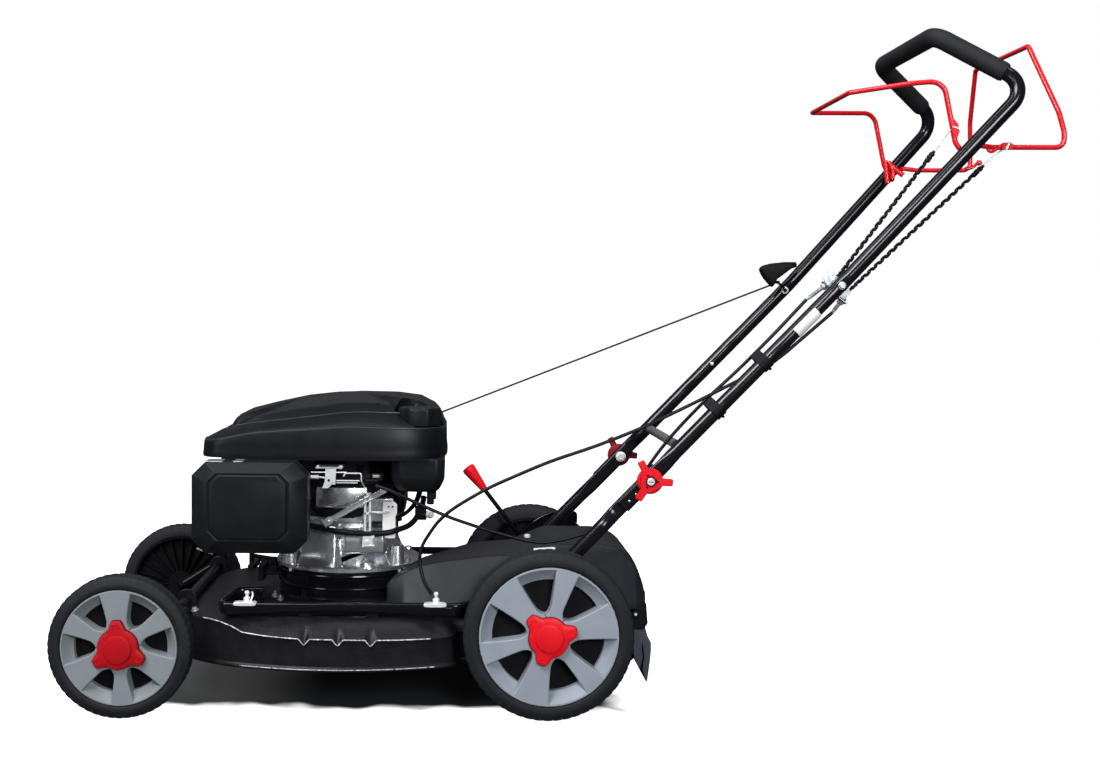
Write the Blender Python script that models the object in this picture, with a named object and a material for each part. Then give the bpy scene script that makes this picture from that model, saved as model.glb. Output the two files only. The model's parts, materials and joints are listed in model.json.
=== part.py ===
"""Walk-behind petrol lawn mower, built as separate pieces in metres.

+X points to the rear (operator), -X to the front, -Y to the mower's left side, +Z up.
Pieces are drawn in a working frame with X = 0 on the rear wheel axis and Z = 0 on the ground;
one empty then shifts the whole machine so that the origin is the middle of its footprint.
"""
import math

import bmesh
import bpy
from mathutils import Matrix, Vector

TAU = 2.0 * math.pi
GAP = 0.0003                     # clearance between pieces that touch

# driving sizes
WHEEL_BASE = 0.697
REAR_R = 0.140
FRONT_R = 0.117
RIM_REAR_R = 0.1141
RIM_FRONT_R = 0.0944
DECK_HALF_W = 0.270
WHEEL_Y = DECK_HALF_W - 0.0183   # middle plane of each wheel, level with the deck's widest point
WHEEL_W = 0.0406
AXLE_R = 0.0080
PIVOT_DX = 0.087                 # axle bar behind its wheel centre
PIVOT_DZ = 0.055                 # axle bar above its wheel centre
ARM_Y = WHEEL_Y - 0.0322         # crank arm plane, inboard of the wheel

DECK_BOTTOM = 0.085
DECK_TOP = 0.160
DECK_T = 0.0025
BLADE_X = -0.345                 # blade and crankshaft axis
BLADE_R = 0.257

RING_R = 0.125
RING_TOP = 0.2135
CASE_R = 0.130
HOOD_X0, HOOD_X1 = -0.579, -0.168
HOOD_HALF_W = 0.170
HOOD_LIP = 0.417
HOOD_T = 0.003
CAP_X, CAP_Y = HOOD_X1 - 0.0485, -(HOOD_HALF_W - 0.060)
DIP_X, DIP_Y = -0.268, 0.088

TUBE_R = 0.0120
HANDLE_Y = ARM_Y - 0.0369         # middle plane of each handle tube
KNOB_X, KNOB_Z = 0.1705, 0.3882  # fold bolt
SLOPE = math.atan(1.0434)        # handle angle above the ground
GRIP_R = 0.0152
WIRE_R = 0.0035
BRAKE_X, BRAKE_Z = 0.6930, 0.9334
DRIVE_X, DRIVE_Z = 0.7130, 0.9543

FRONT_AXLE = (-WHEEL_BASE, FRONT_R)
REAR_AXLE = (0.0, REAR_R)
FRONT_PIVOT = (-WHEEL_BASE + PIVOT_DX, FRONT_R + PIVOT_DZ)
REAR_PIVOT = (PIVOT_DX, REAR_R + PIVOT_DZ)

RED = (0.62, 0.02, 0.02, 1.0)
BLACK = (0.015, 0.015, 0.017, 1.0)
GLOSS = (0.010, 0.010, 0.012, 1.0)
RUBBER = (0.035, 0.035, 0.037, 1.0)
GREY = (0.30, 0.31, 0.33, 1.0)
CAST = (0.55, 0.55, 0.54, 1.0)
ZINC = (0.70, 0.71, 0.73, 1.0)
STEEL = (0.45, 0.45, 0.47, 1.0)


# scene and object helpers
for old in list(bpy.data.objects):
    bpy.data.objects.remove(old, do_unlink=True)

PARTS = bpy.data.collections.new("petrol_lawn_mower")
CUTS = bpy.data.collections.new("helpers")
bpy.context.scene.collection.children.link(PARTS)
bpy.context.scene.collection.children.link(CUTS)


def material(name, colour, rough, metal=0.0):
    mat = bpy.data.materials.new("mat_" + name)
    mat.use_nodes = True
    node = mat.node_tree.nodes["Principled BSDF"]
    node.inputs["Base Color"].default_value = colour
    node.inputs["Roughness"].default_value = rough
    node.inputs["Metallic"].default_value = metal
    return mat


FINISH = {"rubber": (RUBBER, 0.85, 0.0), "plastic": (BLACK, 0.55, 0.0), "gloss": (GLOSS, 0.15, 0.0),
          "red": (RED, 0.35, 0.0), "grey": (GREY, 0.45, 0.0), "cast": (CAST, 0.40, 1.0),
          "zinc": (ZINC, 0.25, 1.0), "steel": (STEEL, 0.40, 1.0)}


def add_object(name, bm, finish=None, angle=40.0):
    """Makes a mesh object out of bm; without a finish it is a helper for a Boolean."""
    bmesh.ops.remove_doubles(bm, verts=bm.verts, dist=1e-7)
    bmesh.ops.recalc_face_normals(bm, faces=bm.faces)
    if bm.calc_volume(signed=True) < 0:
        bmesh.ops.reverse_faces(bm, faces=bm.faces)
    mesh = bpy.data.meshes.new(name)
    bm.to_mesh(mesh)
    bm.free()
    obj = bpy.data.objects.new(name, mesh)
    if finish is None:
        CUTS.objects.link(obj)
        obj.hide_render = True
        obj.display_type = "WIRE"
    else:
        PARTS.objects.link(obj)
        colour, rough, metal = FINISH[finish]
        mesh.materials.append(material(name, colour, rough, metal))
        mesh.shade_smooth()
        mesh.set_sharp_from_angle(angle=math.radians(angle))
    return obj


def skin(loops, closed=False, start=True, end=True, flat=False):
    """Joins equal loops into one surface. Closed joins the last loop to the first; flat ends are
    single faces, the others meet in a middle point."""
    bm = bmesh.new()
    rings = [[bm.verts.new(p) for p in loop] for loop in loops]
    count = len(rings[0])
    pairs = list(zip(rings, rings[1:]))
    if closed:
        pairs.append((rings[-1], rings[0]))
    for a, b in pairs:
        for i in range(count):
            j = (i + 1) % count
            bm.faces.new((a[i], a[j], b[j], b[i]))
    if not closed:
        for ring, wanted in ((rings[0], start), (rings[-1], end)):
            if not wanted:
                continue
            if flat:
                bm.faces.new(ring)
                continue
            middle = sum((v.co for v in ring), Vector()) / count
            hub = bm.verts.new(middle)
            for i in range(count):
                bm.faces.new((ring[i], ring[(i + 1) % count], hub))
    return bm


def join(first, *others):
    """Adds the geometry of the other bmeshes to the first, as separate closed shells."""
    for other in others:
        mesh = bpy.data.meshes.new("join")
        other.to_mesh(mesh)
        other.free()
        first.from_mesh(mesh)
        bpy.data.meshes.remove(mesh)
    return first


def block(x0, x1, y0, y1, z0, z1):
    bm = bmesh.new()
    bmesh.ops.create_cube(bm, size=1.0)
    scale = Vector((abs(x1 - x0), abs(y1 - y0), abs(z1 - z0)))
    bmesh.ops.scale(bm, vec=scale, verts=bm.verts)
    bmesh.ops.translate(bm, vec=Vector(((x0 + x1) / 2, (y0 + y1) / 2, (z0 + z1) / 2)), verts=bm.verts)
    return bm


def frame_at(axis):
    """Two directions across an axis."""
    axis = Vector(axis).normalized()
    side = Vector((0, 0, 1)).cross(axis)
    if side.length < 1e-4:
        side = Vector((1, 0, 0))
    side.normalize()
    return side, axis.cross(side)


def circle(centre, axis, radius, sides, phase=0.0):
    u, v = frame_at(axis)
    c = Vector(centre)
    return [c + radius * (math.cos(phase + TAU * k / sides) * u + math.sin(phase + TAU * k / sides) * v)
            for k in range(sides)]


def rod(a, b, radius, sides=16, end_radius=None, phase=0.0):
    """Straight bar or cone from a to b."""
    axis = Vector(b) - Vector(a)
    tip = radius if end_radius is None else end_radius
    return skin([circle(a, axis, radius, sides, phase), circle(b, axis, tip, sides, phase)])


def revolve(centre, axis, profile, sides, phase=0.0, closed=False):
    """Turns (radius, height along axis) points about an axis."""
    ax = Vector(axis).normalized()
    loops = [circle(Vector(centre) + ax * h, ax, r, sides, phase) for r, h in profile]
    return skin(loops, closed=closed)


def prism(points, y0, y1):
    """Outline of (x, z) points pulled from y0 to y1."""
    return skin([[Vector((x, y, z)) for x, z in points] for y in (y0, y1)], flat=True)


def slab(points, z0, z1):
    """Outline of (x, y) points pulled from z0 to z1."""
    return skin([[Vector((x, y, z)) for x, y in points] for z in (z0, z1)], flat=True)


def fillet(points, radii, steps=5):
    """Rounds the inner corners of a path with arcs."""
    pts = [Vector(p) for p in points]
    out = [pts[0]]
    for k in range(1, len(pts) - 1):
        r = radii[k - 1] if isinstance(radii, (list, tuple)) else radii
        a, b = (pts[k - 1] - pts[k]).normalized(), (pts[k + 1] - pts[k]).normalized()
        half = a.angle(b) / 2.0
        reach = r / math.tan(half)
        mid = pts[k] + (a + b).normalized() * (r / math.sin(half))
        s, e = pts[k] + a * reach - mid, pts[k] + b * reach - mid
        swing = s.angle(e)
        for n in range(steps + 1):
            t = n / steps
            out.append(mid + (s * math.sin((1 - t) * swing) + e * math.sin(t * swing)) / math.sin(swing))
    out.append(pts[-1])
    return out


def smooth(points, per=4):
    """Even curve through the points."""
    pts = [Vector(p) for p in points]
    ext = [2 * pts[0] - pts[1]] + pts + [2 * pts[-1] - pts[-2]]
    out = []
    for k in range(1, len(ext) - 2):
        p0, p1, p2, p3 = ext[k - 1:k + 3]
        for n in range(per):
            t = n / per
            out.append(0.5 * (2 * p1 + (p2 - p0) * t + (2 * p0 - 5 * p1 + 4 * p2 - p3) * t * t
                              + (3 * p1 - p0 - 3 * p2 + p3) * t ** 3))
    out.append(pts[-1])
    return out


def sweep(path, size, sides=10, up=(0, 1, 0), shape=None):
    """Tube along a path. size is one radius or a function of the index giving (across, along up)."""
    loops = []
    v = Vector(up)
    for k, p in enumerate(path):
        t = (path[min(k + 1, len(path) - 1)] - path[max(k - 1, 0)]).normalized()
        v = (v - t * v.dot(t)).normalized()
        u = t.cross(v)
        a, b = size(k) if callable(size) else (size, size)
        if shape is None:
            ring = [(math.cos(TAU * (n + 0.5) / sides) * a, math.sin(TAU * (n + 0.5) / sides) * b)
                    for n in range(sides)]
        else:
            ring = [(x * a, y * b) for x, y in shape]
        loops.append([p + u * x + v * y for x, y in ring])
    return skin(loops)


def boolean(obj, bm, operation="DIFFERENCE", solver="EXACT"):
    cutter = add_object(obj.name + "_cut%d" % (len(obj.modifiers) + 1), bm)
    mod = obj.modifiers.new("cut", "BOOLEAN")
    mod.operation = operation
    mod.solver = solver
    mod.object = cutter
    HELPERS.setdefault(obj.name, []).append(cutter)
    return obj


HELPERS = {}
BODIES = {}


def body(name, pivot, parent, objs):
    BODIES[name] = (Vector(pivot), parent, objs)


def inset(loop, d):
    """Moves a closed (x, y) loop inwards by d."""
    count = len(loop)
    area = sum(loop[i][0] * loop[(i + 1) % count][1] - loop[(i + 1) % count][0] * loop[i][1]
               for i in range(count))
    turn = 1.0 if area > 0 else -1.0
    out = []
    for i in range(count):
        a, b, c = loop[i - 1], loop[i], loop[(i + 1) % count]
        t1 = Vector((b[0] - a[0], b[1] - a[1])).normalized()
        t2 = Vector((c[0] - b[0], c[1] - b[1])).normalized()
        n = Vector((-(t1.y + t2.y), t1.x + t2.x)) * turn
        n.normalize()
        lean = max(0.5, n.dot(Vector((-t1.y, t1.x)) * turn))
        out.append((b[0] + n.x * d / lean, b[1] + n.y * d / lean))
    return out


# wheels
def spoke_samples(radius, inner, outer, w_in, w_out, phase):
    """Angles round the wheel: two edges and the middle of each spoke, its feet and the window."""
    r = min(max(radius, inner), outer)
    half = w_in + (w_out - w_in) * (r - inner) / (outer - inner)
    a = math.asin(half / r)
    foot = a + 0.03
    step = (TAU / 6 - 2 * foot) / 2
    out = []
    for k in range(6):
        base = phase + k * TAU / 6
        out += [(base - a, 1), (base, 1), (base + a, 1), (base + foot, 0), (base + foot + step, 0),
                (base + foot + 2 * step, 0)]
    return out


def wheel(tag, centre, side, radius, rim_r, w_out, phase):
    """Tyre, spoked rim and hub cap. u counts outwards from the middle plane of the wheel."""
    cx, cz = centre
    phase = math.radians(phase)
    half = WHEEL_W / 2

    def at(r, u, ang):
        return Vector((cx + r * math.cos(ang), side * (WHEEL_Y + u), cz + r * math.sin(ang)))

    sides = 32
    fit = 1.0 / math.cos(math.pi / sides)
    tread = [(rim_r + GAP, -half), (radius - 0.012, -half), (radius - 0.0035, -half * 0.80),
             (radius, -half * 0.55), (radius, half * 0.55), (radius - 0.0035, half * 0.80),
             (radius - 0.012, half), (rim_r + 0.004, half + 0.0004), (rim_r + GAP, half)]
    loops = [[at(r * fit, u, TAU * (k + 0.5) / sides) for k in range(sides)] for r, u in tread]
    tyre = add_object("tyre_" + tag, skin(loops, closed=True), "rubber")

    dish, face, back = 0.0060, half - 0.0010, -0.0040
    lip_r, win_r, hub_r = rim_r * 0.95, rim_r * 0.82, 0.042
    rings = [(AXLE_R + GAP, half + 0.0010, half + 0.0010), (hub_r, half + 0.0010, half + 0.0010),
             (hub_r + 0.004, half + 0.0005, dish), (win_r, half, dish), (lip_r, face, face - 0.003),
             (rim_r, face, face), (rim_r, -half, -half), (rim_r - 0.004, -half, -half),
             (rim_r - 0.006, back, back), (0.027, back, back), (0.025, -half, -half),
             (AXLE_R + GAP, -half, -half)]
    loops = []
    for r, high, low in rings:
        samples = spoke_samples(r, hub_r + 0.004, lip_r, 0.0140, w_out, phase)
        loops.append([at(r, high if on else low, ang) for ang, on in samples])
    rim = add_object("rim_" + tag, skin(loops, closed=True), "grey", 30)

    body_r, lobe_r = 0.0355, 0.0460
    steps = [(-17, 0), (-11, 1), (0, 1), (11, 1), (17, 0), (30, 0), (45, 0), (60, 0), (75, 0), (90, 0)]
    lift = half + 0.0010 + GAP
    loops = []
    for scale, u, lobes in ((1.0, lift, 1), (1.0, lift + 0.0065, 1), (0.93, lift + 0.0085, 1),
                            (0.66, lift + 0.0088, 0), (0.60, lift + 0.0125, 0)):
        ring = []
        for k in range(3):
            for deg, lobe in steps:
                r = (lobe_r if lobe and lobes else body_r) * scale
                ring.append(at(r, u, phase + math.radians(deg) + k * TAU / 3))
        loops.append(ring)
    cap = add_object("hub_cap_" + tag, skin(loops), "red")
    return [tyre, rim, cap]


WHEELS = {}
for tag, centre, side, radius, rim_r, w_out, phase in (
        ("front_left", FRONT_AXLE, -1, FRONT_R, RIM_FRONT_R, 0.0235, 94),
        ("front_right", FRONT_AXLE, 1, FRONT_R, RIM_FRONT_R, 0.0235, 70),
        ("rear_left", REAR_AXLE, -1, REAR_R, RIM_REAR_R, 0.0270, 15),
        ("rear_right", REAR_AXLE, 1, REAR_R, RIM_REAR_R, 0.0270, 40)):
    WHEELS[tag] = wheel(tag, centre, side, radius, rim_r, w_out, phase)


# cutting height: cranked axles, lever and link
def crank_axle(name, wheel_at, pivot):
    stub = WHEEL_Y + WHEEL_W / 2 - 0.002
    half = [(wheel_at[0], stub, wheel_at[1]), (wheel_at[0], ARM_Y, wheel_at[1]),
            (pivot[0], ARM_Y, pivot[1])]
    points = [(x, -y, z) for x, y, z in half] + [p for p in reversed(half)]
    return add_object(name, sweep(fillet(points, 0.012, 3), AXLE_R, 10, up=(0.3, 0, 1)), "gloss")


LINK_Y = ARM_Y - 0.0143
LINK_UP = 0.034
front_axle = crank_axle("front_axle", FRONT_AXLE, FRONT_PIVOT)
rear_axle = crank_axle("rear_axle", REAR_AXLE, REAR_PIVOT)
for axle, (px, pz) in ((front_axle, FRONT_PIVOT), (rear_axle, REAR_PIVOT)):
    # short arm that works the link, with its pin
    y0 = LINK_Y + 0.0020
    arm = [(px - 0.010, pz), (px - 0.007, pz + LINK_UP + 0.004), (px + 0.007, pz + LINK_UP + 0.004),
           (px + 0.010, pz)]
    boolean(axle, prism(arm, y0, y0 + 0.0033), "UNION")
    boolean(axle, rod((px, LINK_Y - 0.0022, pz + LINK_UP), (px, y0 + 0.0015, pz + LINK_UP), 0.0030, 12),
            "UNION")


def bar_with_eyes(ax, az, bx, bz, width, y0, y1, eye, hole):
    """Flat bar from a to b with round ends and a hole at each."""
    ang = math.atan2(bz - az, bx - ax)
    pts = []
    for (cx, cz, start) in ((bx, bz, ang - math.pi / 2), (ax, az, ang + math.pi / 2)):
        for k in range(7):
            t = start + math.pi * k / 6
            pts.append((cx + width * math.cos(t), cz + width * math.sin(t)))
    obj = add_object(eye, prism(pts, y0, y1), "zinc")
    for cx, cz in ((ax, az), (bx, bz)):
        boolean(obj, rod((cx, y0 - 0.01, cz), (cx, y1 + 0.01, cz), hole, 12))
    return obj


height_link = bar_with_eyes(FRONT_PIVOT[0], FRONT_PIVOT[1] + LINK_UP, REAR_PIVOT[0],
                            REAR_PIVOT[1] + LINK_UP, 0.0075, LINK_Y - 0.0015, LINK_Y + 0.0015,
                            "height_link", 0.0033)
# the lever is clamped on the rear axle and leans forward to its grip
LEVER_Y = ARM_Y - 0.0222
elbow = Vector((-0.022, LEVER_Y, 0.2245))
foot = Vector((-0.0944, LEVER_Y, 0.3177))
grip_dir = (foot - elbow).normalized()
lever_path = fillet([(REAR_PIVOT[0] - 0.006, LEVER_Y, REAR_PIVOT[1] + 0.002), (0.030, LEVER_Y, 0.2090), elbow,
                     foot + grip_dir * 0.026], [0.05, 0.02], 3)
flat = len(lever_path) - 2
height_lever = add_object("height_lever", sweep(
    lever_path + [], lambda k: (0.0070, 0.0017) if k < flat else (0.0044, 0.0017 if k == flat else 0.0044), 8),
    "gloss")
boolean(height_lever, rod((REAR_PIVOT[0], LEVER_Y - 0.0023, REAR_PIVOT[1]), (REAR_PIVOT[0], LEVER_Y + 0.0047, REAR_PIVOT[1]),
                          0.0145, 16), "UNION")
boolean(height_lever, rod((REAR_PIVOT[0], LEVER_Y - 0.01, REAR_PIVOT[1]), (REAR_PIVOT[0], LEVER_Y + 0.01, REAR_PIVOT[1]),
                          AXLE_R + 2 * GAP, 14))
lever_grip = add_object("height_lever_grip", revolve(foot, grip_dir, [
    (0.0055, 0.0), (0.0072, 0.004), (0.0120, 0.048), (0.0112, 0.053), (0.0060, 0.0545)], 14), "red")
boolean(lever_grip, rod(foot - grip_dir * 0.01, foot + grip_dir * 0.030, 0.0044 + 2 * GAP, 10))

# deck
def deck_outline():
    """Half outline from the front middle round to the rear middle, then mirrored."""
    front = [(-0.640, 0.0), (-0.640, 0.055), (-0.635, 0.110), (-0.616, 0.160), (-0.583, 0.200)]
    half = [(x, y * DECK_HALF_W / 0.270) for x, y in front]
    for k in range(9):
        dx = -0.185 + 0.370 * k / 8
        half.append((BLADE_X + dx, DECK_HALF_W - 1.05 * dx * dx))
    rear_y = WHEEL_Y - 0.0487            # rear skirt, inboard of the wheels
    half += [(-0.140, rear_y), (-0.060, rear_y), (0.030, rear_y), (0.110, rear_y), (0.140, rear_y - 0.013),
             (0.1520, rear_y - 0.043), (0.1555, 0.080), (0.1560, 0.0)]
    return half + [(x, -y) for x, y in reversed(half[1:-1])]


plan = deck_outline()
outer = [(0.0, DECK_BOTTOM), (-0.0028, DECK_BOTTOM + 0.004), (0.0, DECK_BOTTOM + 0.008),
         (0.0015, 0.1240), (0.0110, 0.1450), (0.0240, 0.1570), (0.0400, DECK_TOP)]
inner = [(0.0410, DECK_TOP - DECK_T), (0.0262, 0.1545), (0.0138, 0.1430), (0.0040, 0.1230),
         (DECK_T, DECK_BOTTOM)]
loops = [[Vector((x, y, z)) for x, y in inset(plan, d)] for d, z in outer]
under = [[Vector((x, y, z)) for x, y in inset(plan, d)] for d, z in inner]


def shell(over, below):
    """One thin closed skin: the outer loops, a lid, the inner loops and its underside."""
    bm = bmesh.new()
    rows = [[bm.verts.new(p) for p in loop] for loop in over]
    rows_in = [[bm.verts.new(p) for p in loop] for loop in below]
    count = len(rows[0])
    pairs = list(zip(rows, rows[1:])) + list(zip(rows_in, rows_in[1:])) + [(rows_in[-1], rows[0])]
    for a, b in pairs:
        for i in range(count):
            j = (i + 1) % count
            bm.faces.new((a[i], a[j], b[j], b[i]))
    for ring in (rows[-1], rows_in[0]):
        hub = bm.verts.new(sum((v.co for v in ring), Vector()) / count)
        for i in range(count):
            bm.faces.new((ring[i], ring[(i + 1) % count], hub))
    return bm


deck = add_object("deck", shell(loops, under), "gloss", 28)
boolean(deck, rod((BLADE_X, 0, 0.10), (BLADE_X, 0, 0.20), 0.020, 20))
# side discharge opening in the right skirt, under the side flap
boolean(deck, block(-0.515, -0.385, DECK_HALF_W - 0.17, DECK_HALF_W + 0.03, 0.0960, 0.1420))
# bearing brackets for the axle bars; the rear pair also carries the handle tubes
front_y = 0.75 * DECK_HALF_W - 0.0525    # the front brackets follow the narrowing nose of the deck
for pivot, y_in, reach in ((FRONT_PIVOT, front_y, 0.016), (REAR_PIVOT, HANDLE_Y - 0.0211, 0.016)):
    for s in (-1, 1):
        y0, y1 = s * y_in, s * (y_in + 0.004)
        plate = [(pivot[0] - reach, DECK_TOP - 0.0045), (pivot[0] - reach, pivot[1] + 0.006),
                 (pivot[0] - reach * 0.5, pivot[1] + 0.015), (pivot[0] + reach * 0.5, pivot[1] + 0.015),
                 (pivot[0] + reach, pivot[1] + 0.006), (pivot[0] + reach, DECK_TOP - 0.0045)]
        boolean(deck, prism(plate, min(y0, y1), max(y0, y1)), "UNION")
for pivot in (FRONT_PIVOT, REAR_PIVOT):
    boolean(deck, rod((pivot[0], -HANDLE_Y - 0.0174, pivot[1]), (pivot[0], HANDLE_Y + 0.0174, pivot[1]),
                      AXLE_R + 2 * GAP, 12))
FOOT_X, FOOT_Z = -0.012, 0.198   # lower handle bolt
for s in (-1, 1):
    y0, y1 = s * (HANDLE_Y - 0.0211), s * (HANDLE_Y - 0.0171)
    plate = [(FOOT_X - 0.030, DECK_TOP - 0.002), (FOOT_X - 0.022, FOOT_Z + 0.020),
             (FOOT_X + 0.030, FOOT_Z + 0.026), (FOOT_X + 0.034, DECK_TOP - 0.002)]
    boolean(deck, prism(plate, min(y0, y1), max(y0, y1)), "UNION")

# glossy frame rail along the left edge of the deck
RAIL_Y = -(WHEEL_Y - 0.0272)
RAIL_Z = 0.1735
shape = [(-1, -0.8), (-0.8, -1), (0.8, -1), (1, -0.8), (1, 0.8), (0.8, 1), (-0.8, 1), (-1, 0.8)]
rail = fillet([(-0.492, RAIL_Y + 0.0545, RAIL_Z), (-0.518, RAIL_Y, RAIL_Z), (-0.132, RAIL_Y, RAIL_Z),
               (-0.119, RAIL_Y + 0.0185, RAIL_Z)], [0.030, 0.020], 5)
side_rail = add_object("side_rail", sweep(rail, lambda k: (0.0060, 0.0098), up=(0, 0, 1), shape=shape),
                       "gloss")

boolean(side_rail, join(block(-0.410, -0.390, RAIL_Y - 0.004, RAIL_Y + 0.004, DECK_TOP + GAP, RAIL_Z - 0.006),
                        block(-0.300, -0.280, RAIL_Y - 0.004, RAIL_Y + 0.004, DECK_TOP + GAP, RAIL_Z - 0.006)),
        "UNION")

# belt cover over the rear of the deck
def cover_height(x, half):
    """Top of the rear cover above a point, lower towards its edge."""
    if x < 0.014:
        t = (x + 0.267) / (0.281)
        z = 0.2020 + 0.078 * math.sin(min(1.0, max(0.0, t)) * math.pi / 2)
    elif x < 0.094:
        z = 0.280
    else:
        t = (x - 0.094) / 0.090
        z = 0.280 - 0.092 * t ** 2.2
    return z - 0.010 * half


between = HANDLE_Y - 0.0251          # side of the cover between the handle feet
half = [(-0.270, 0.0), (-0.2695, 0.070), (-0.268, between - 0.0075), (-0.240, between + 0.0265),
        (-0.190, between + 0.0345), (-0.120, between + 0.0325), (-0.070, between + 0.0185), (-0.045, between),
        (0.070, between), (0.120, between - 0.0015), (0.160, between - 0.0095), (0.180, 0.120), (0.1835, 0.060),
        (0.1850, 0.0)]
cover_plan = half + [(x, -y) for x, y in reversed(half[1:-1])]


def cover_loop(d, drop, low=None):
    pts = inset(cover_plan, d)
    out = []
    for (x, y), (x0, y0) in zip(pts, cover_plan):
        if low is None:
            out.append(Vector((x, y, cover_height(x0, 0) - drop)))
        else:
            out.append(Vector((x, y, low)))
    return out


base_z = DECK_TOP + GAP
over = [cover_loop(0.0, 0, base_z), cover_loop(0.0015, 0.016), cover_loop(0.0045, 0.006),
        cover_loop(0.0100, 0.0)]
below = [cover_loop(0.0125, 0.003), cover_loop(0.0075, 0.009), cover_loop(0.0048, 0.018),
         cover_loop(0.003, 0, base_z)]


def strip_lid(over, below):
    """Thin skin whose lid is strips from left to right, so that it follows a curved top."""
    bm = bmesh.new()
    rows = [[bm.verts.new(p) for p in loop] for loop in over]
    rows_in = [[bm.verts.new(p) for p in loop] for loop in below]
    count = len(rows[0])
    pairs = list(zip(rows, rows[1:])) + list(zip(rows_in, rows_in[1:])) + [(rows_in[-1], rows[0])]
    for a, b in pairs:
        for i in range(count):
            j = (i + 1) % count
            bm.faces.new((a[i], a[j], b[j], b[i]))
    for ring in (rows[-1], rows_in[0]):
        bm.faces.new((ring[0], ring[1], ring[-1]))
        for i in range(1, count // 2 - 1):
            bm.faces.new((ring[i], ring[i + 1], ring[count - i - 1], ring[count - i]))
        bm.faces.new((ring[count // 2 - 1], ring[count // 2], ring[count // 2 + 1]))
    return bm


belt_cover = add_object("belt_cover", strip_lid(over, below), "plastic", 30)
boolean(belt_cover, rod((REAR_PIVOT[0], -HANDLE_Y, REAR_PIVOT[1]), (REAR_PIVOT[0], HANDLE_Y, REAR_PIVOT[1]),
                        0.011, 16))
BELT_Z = 0.198
boolean(belt_cover, rod((BLADE_X, 0, 0.14), (BLADE_X, 0, 0.32), CASE_R + 0.0045, 40))

# rear flap, hinged on a rod across the back of the deck
FLAP_X, FLAP_Z = 0.1620, 0.1500
flap_prof = [(0.1585, 0.1500), (0.1600, 0.1550), (0.1640, 0.1550), (0.1665, 0.1490), (0.1690, 0.1300),
             (0.1775, 0.1150), (0.1765, 0.0850), (0.1715, 0.0480), (0.1690, 0.0480), (0.1640, 0.0700),
             (0.1670, 0.0900), (0.1620, 0.1150), (0.1590, 0.1320)]
rear_flap = add_object("rear_flap", prism(flap_prof, -(WHEEL_Y - 0.0537), WHEEL_Y - 0.0537), "plastic", 30)
rail_half = HANDLE_Y - 0.0326
boolean(deck, block(0.1420, 0.1582, -rail_half, rail_half, 0.1400, 0.1500), "UNION")

# side discharge flap on the right, hanging over the opening in the skirt
SIDE_Y, SIDE_Z = DECK_HALF_W - 0.0060, 0.1620
side_prof = [(SIDE_Y - 0.004, SIDE_Z + 0.003), (SIDE_Y + 0.003, SIDE_Z + 0.004), (SIDE_Y + 0.0090, SIDE_Z - 0.006),
             (SIDE_Y + 0.0205, 0.120),
             (SIDE_Y + 0.0205, 0.092), (SIDE_Y + 0.0175, 0.092), (SIDE_Y + 0.0172, 0.119), (SIDE_Y + 0.0045, SIDE_Z - 0.006),
             (SIDE_Y - 0.002, SIDE_Z - 0.004)]
side_flap = add_object("side_flap", skin([[Vector((x, y, z)) for y, z in side_prof] for x in (-0.5437, -0.3463)],
                                        flat=True),
                       "plastic", 30)
boolean(deck, join(block(-0.556, -0.544, SIDE_Y - 0.094, SIDE_Y + 0.004, 0.1540, 0.1680),
                   block(-0.346, -0.334, SIDE_Y - 0.064, SIDE_Y + 0.004, 0.1540, 0.1680)), "UNION")

# lower handle tubes, bolted to the rear brackets
ALONG = Vector((math.cos(SLOPE), 0.0, math.sin(SLOPE)))


def handle_at(s, y):
    """Point on the handle line, s counted from the fold bolt."""
    return Vector((KNOB_X, y, KNOB_Z)) + ALONG * s


FLAT_T, FLAT_W = 0.0058, 0.0150


def flat_mix(t):
    return (TUBE_R + (FLAT_W - TUBE_R) * t, TUBE_R + (FLAT_T - TUBE_R) * t)


lower = {}
for tag, s in (("left", -1), ("right", 1)):
    foot_s = (FOOT_X - KNOB_X) / math.cos(SLOPE)
    offsets = [(foot_s - 0.020, 0.0, 0.0), (foot_s + 0.05, 0.0, 0.0), (-0.110, 0.0, 0.0), (-0.085, 0.4, 0.5),
               (-0.070, 1.0, 1.0), (0.024, 1.0, 1.0)]
    path = [handle_at(a, s * (HANDLE_Y - 0.0061 * b)) for a, b, c in offsets]
    lower[tag] = add_object("lower_handle_" + tag, sweep(path, lambda k: flat_mix(offsets[k][2]), 12), "gloss")
    # foot bolt with its head, and the fold bolt
    fx, fz = handle_at(foot_s, 0).x, handle_at(foot_s, 0).z
    head = HANDLE_Y + 0.0174 if s < 0 else LEVER_Y - 0.0030
    boolean(lower[tag], rod((fx, s * (HANDLE_Y - 0.0164), fz), (fx, s * head, fz), 0.0065, 6), "UNION")
    boolean(lower[tag], rod((KNOB_X, s * (HANDLE_Y - 0.0155), KNOB_Z), (KNOB_X, s * (HANDLE_Y - 0.010), KNOB_Z),
                            0.0080, 12), "UNION")
    boolean(lower[tag], rod((KNOB_X, s * (HANDLE_Y - 0.009), KNOB_Z), (KNOB_X, s * (HANDLE_Y + 0.0274), KNOB_Z), 0.0040, 12),
            "UNION")

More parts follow.
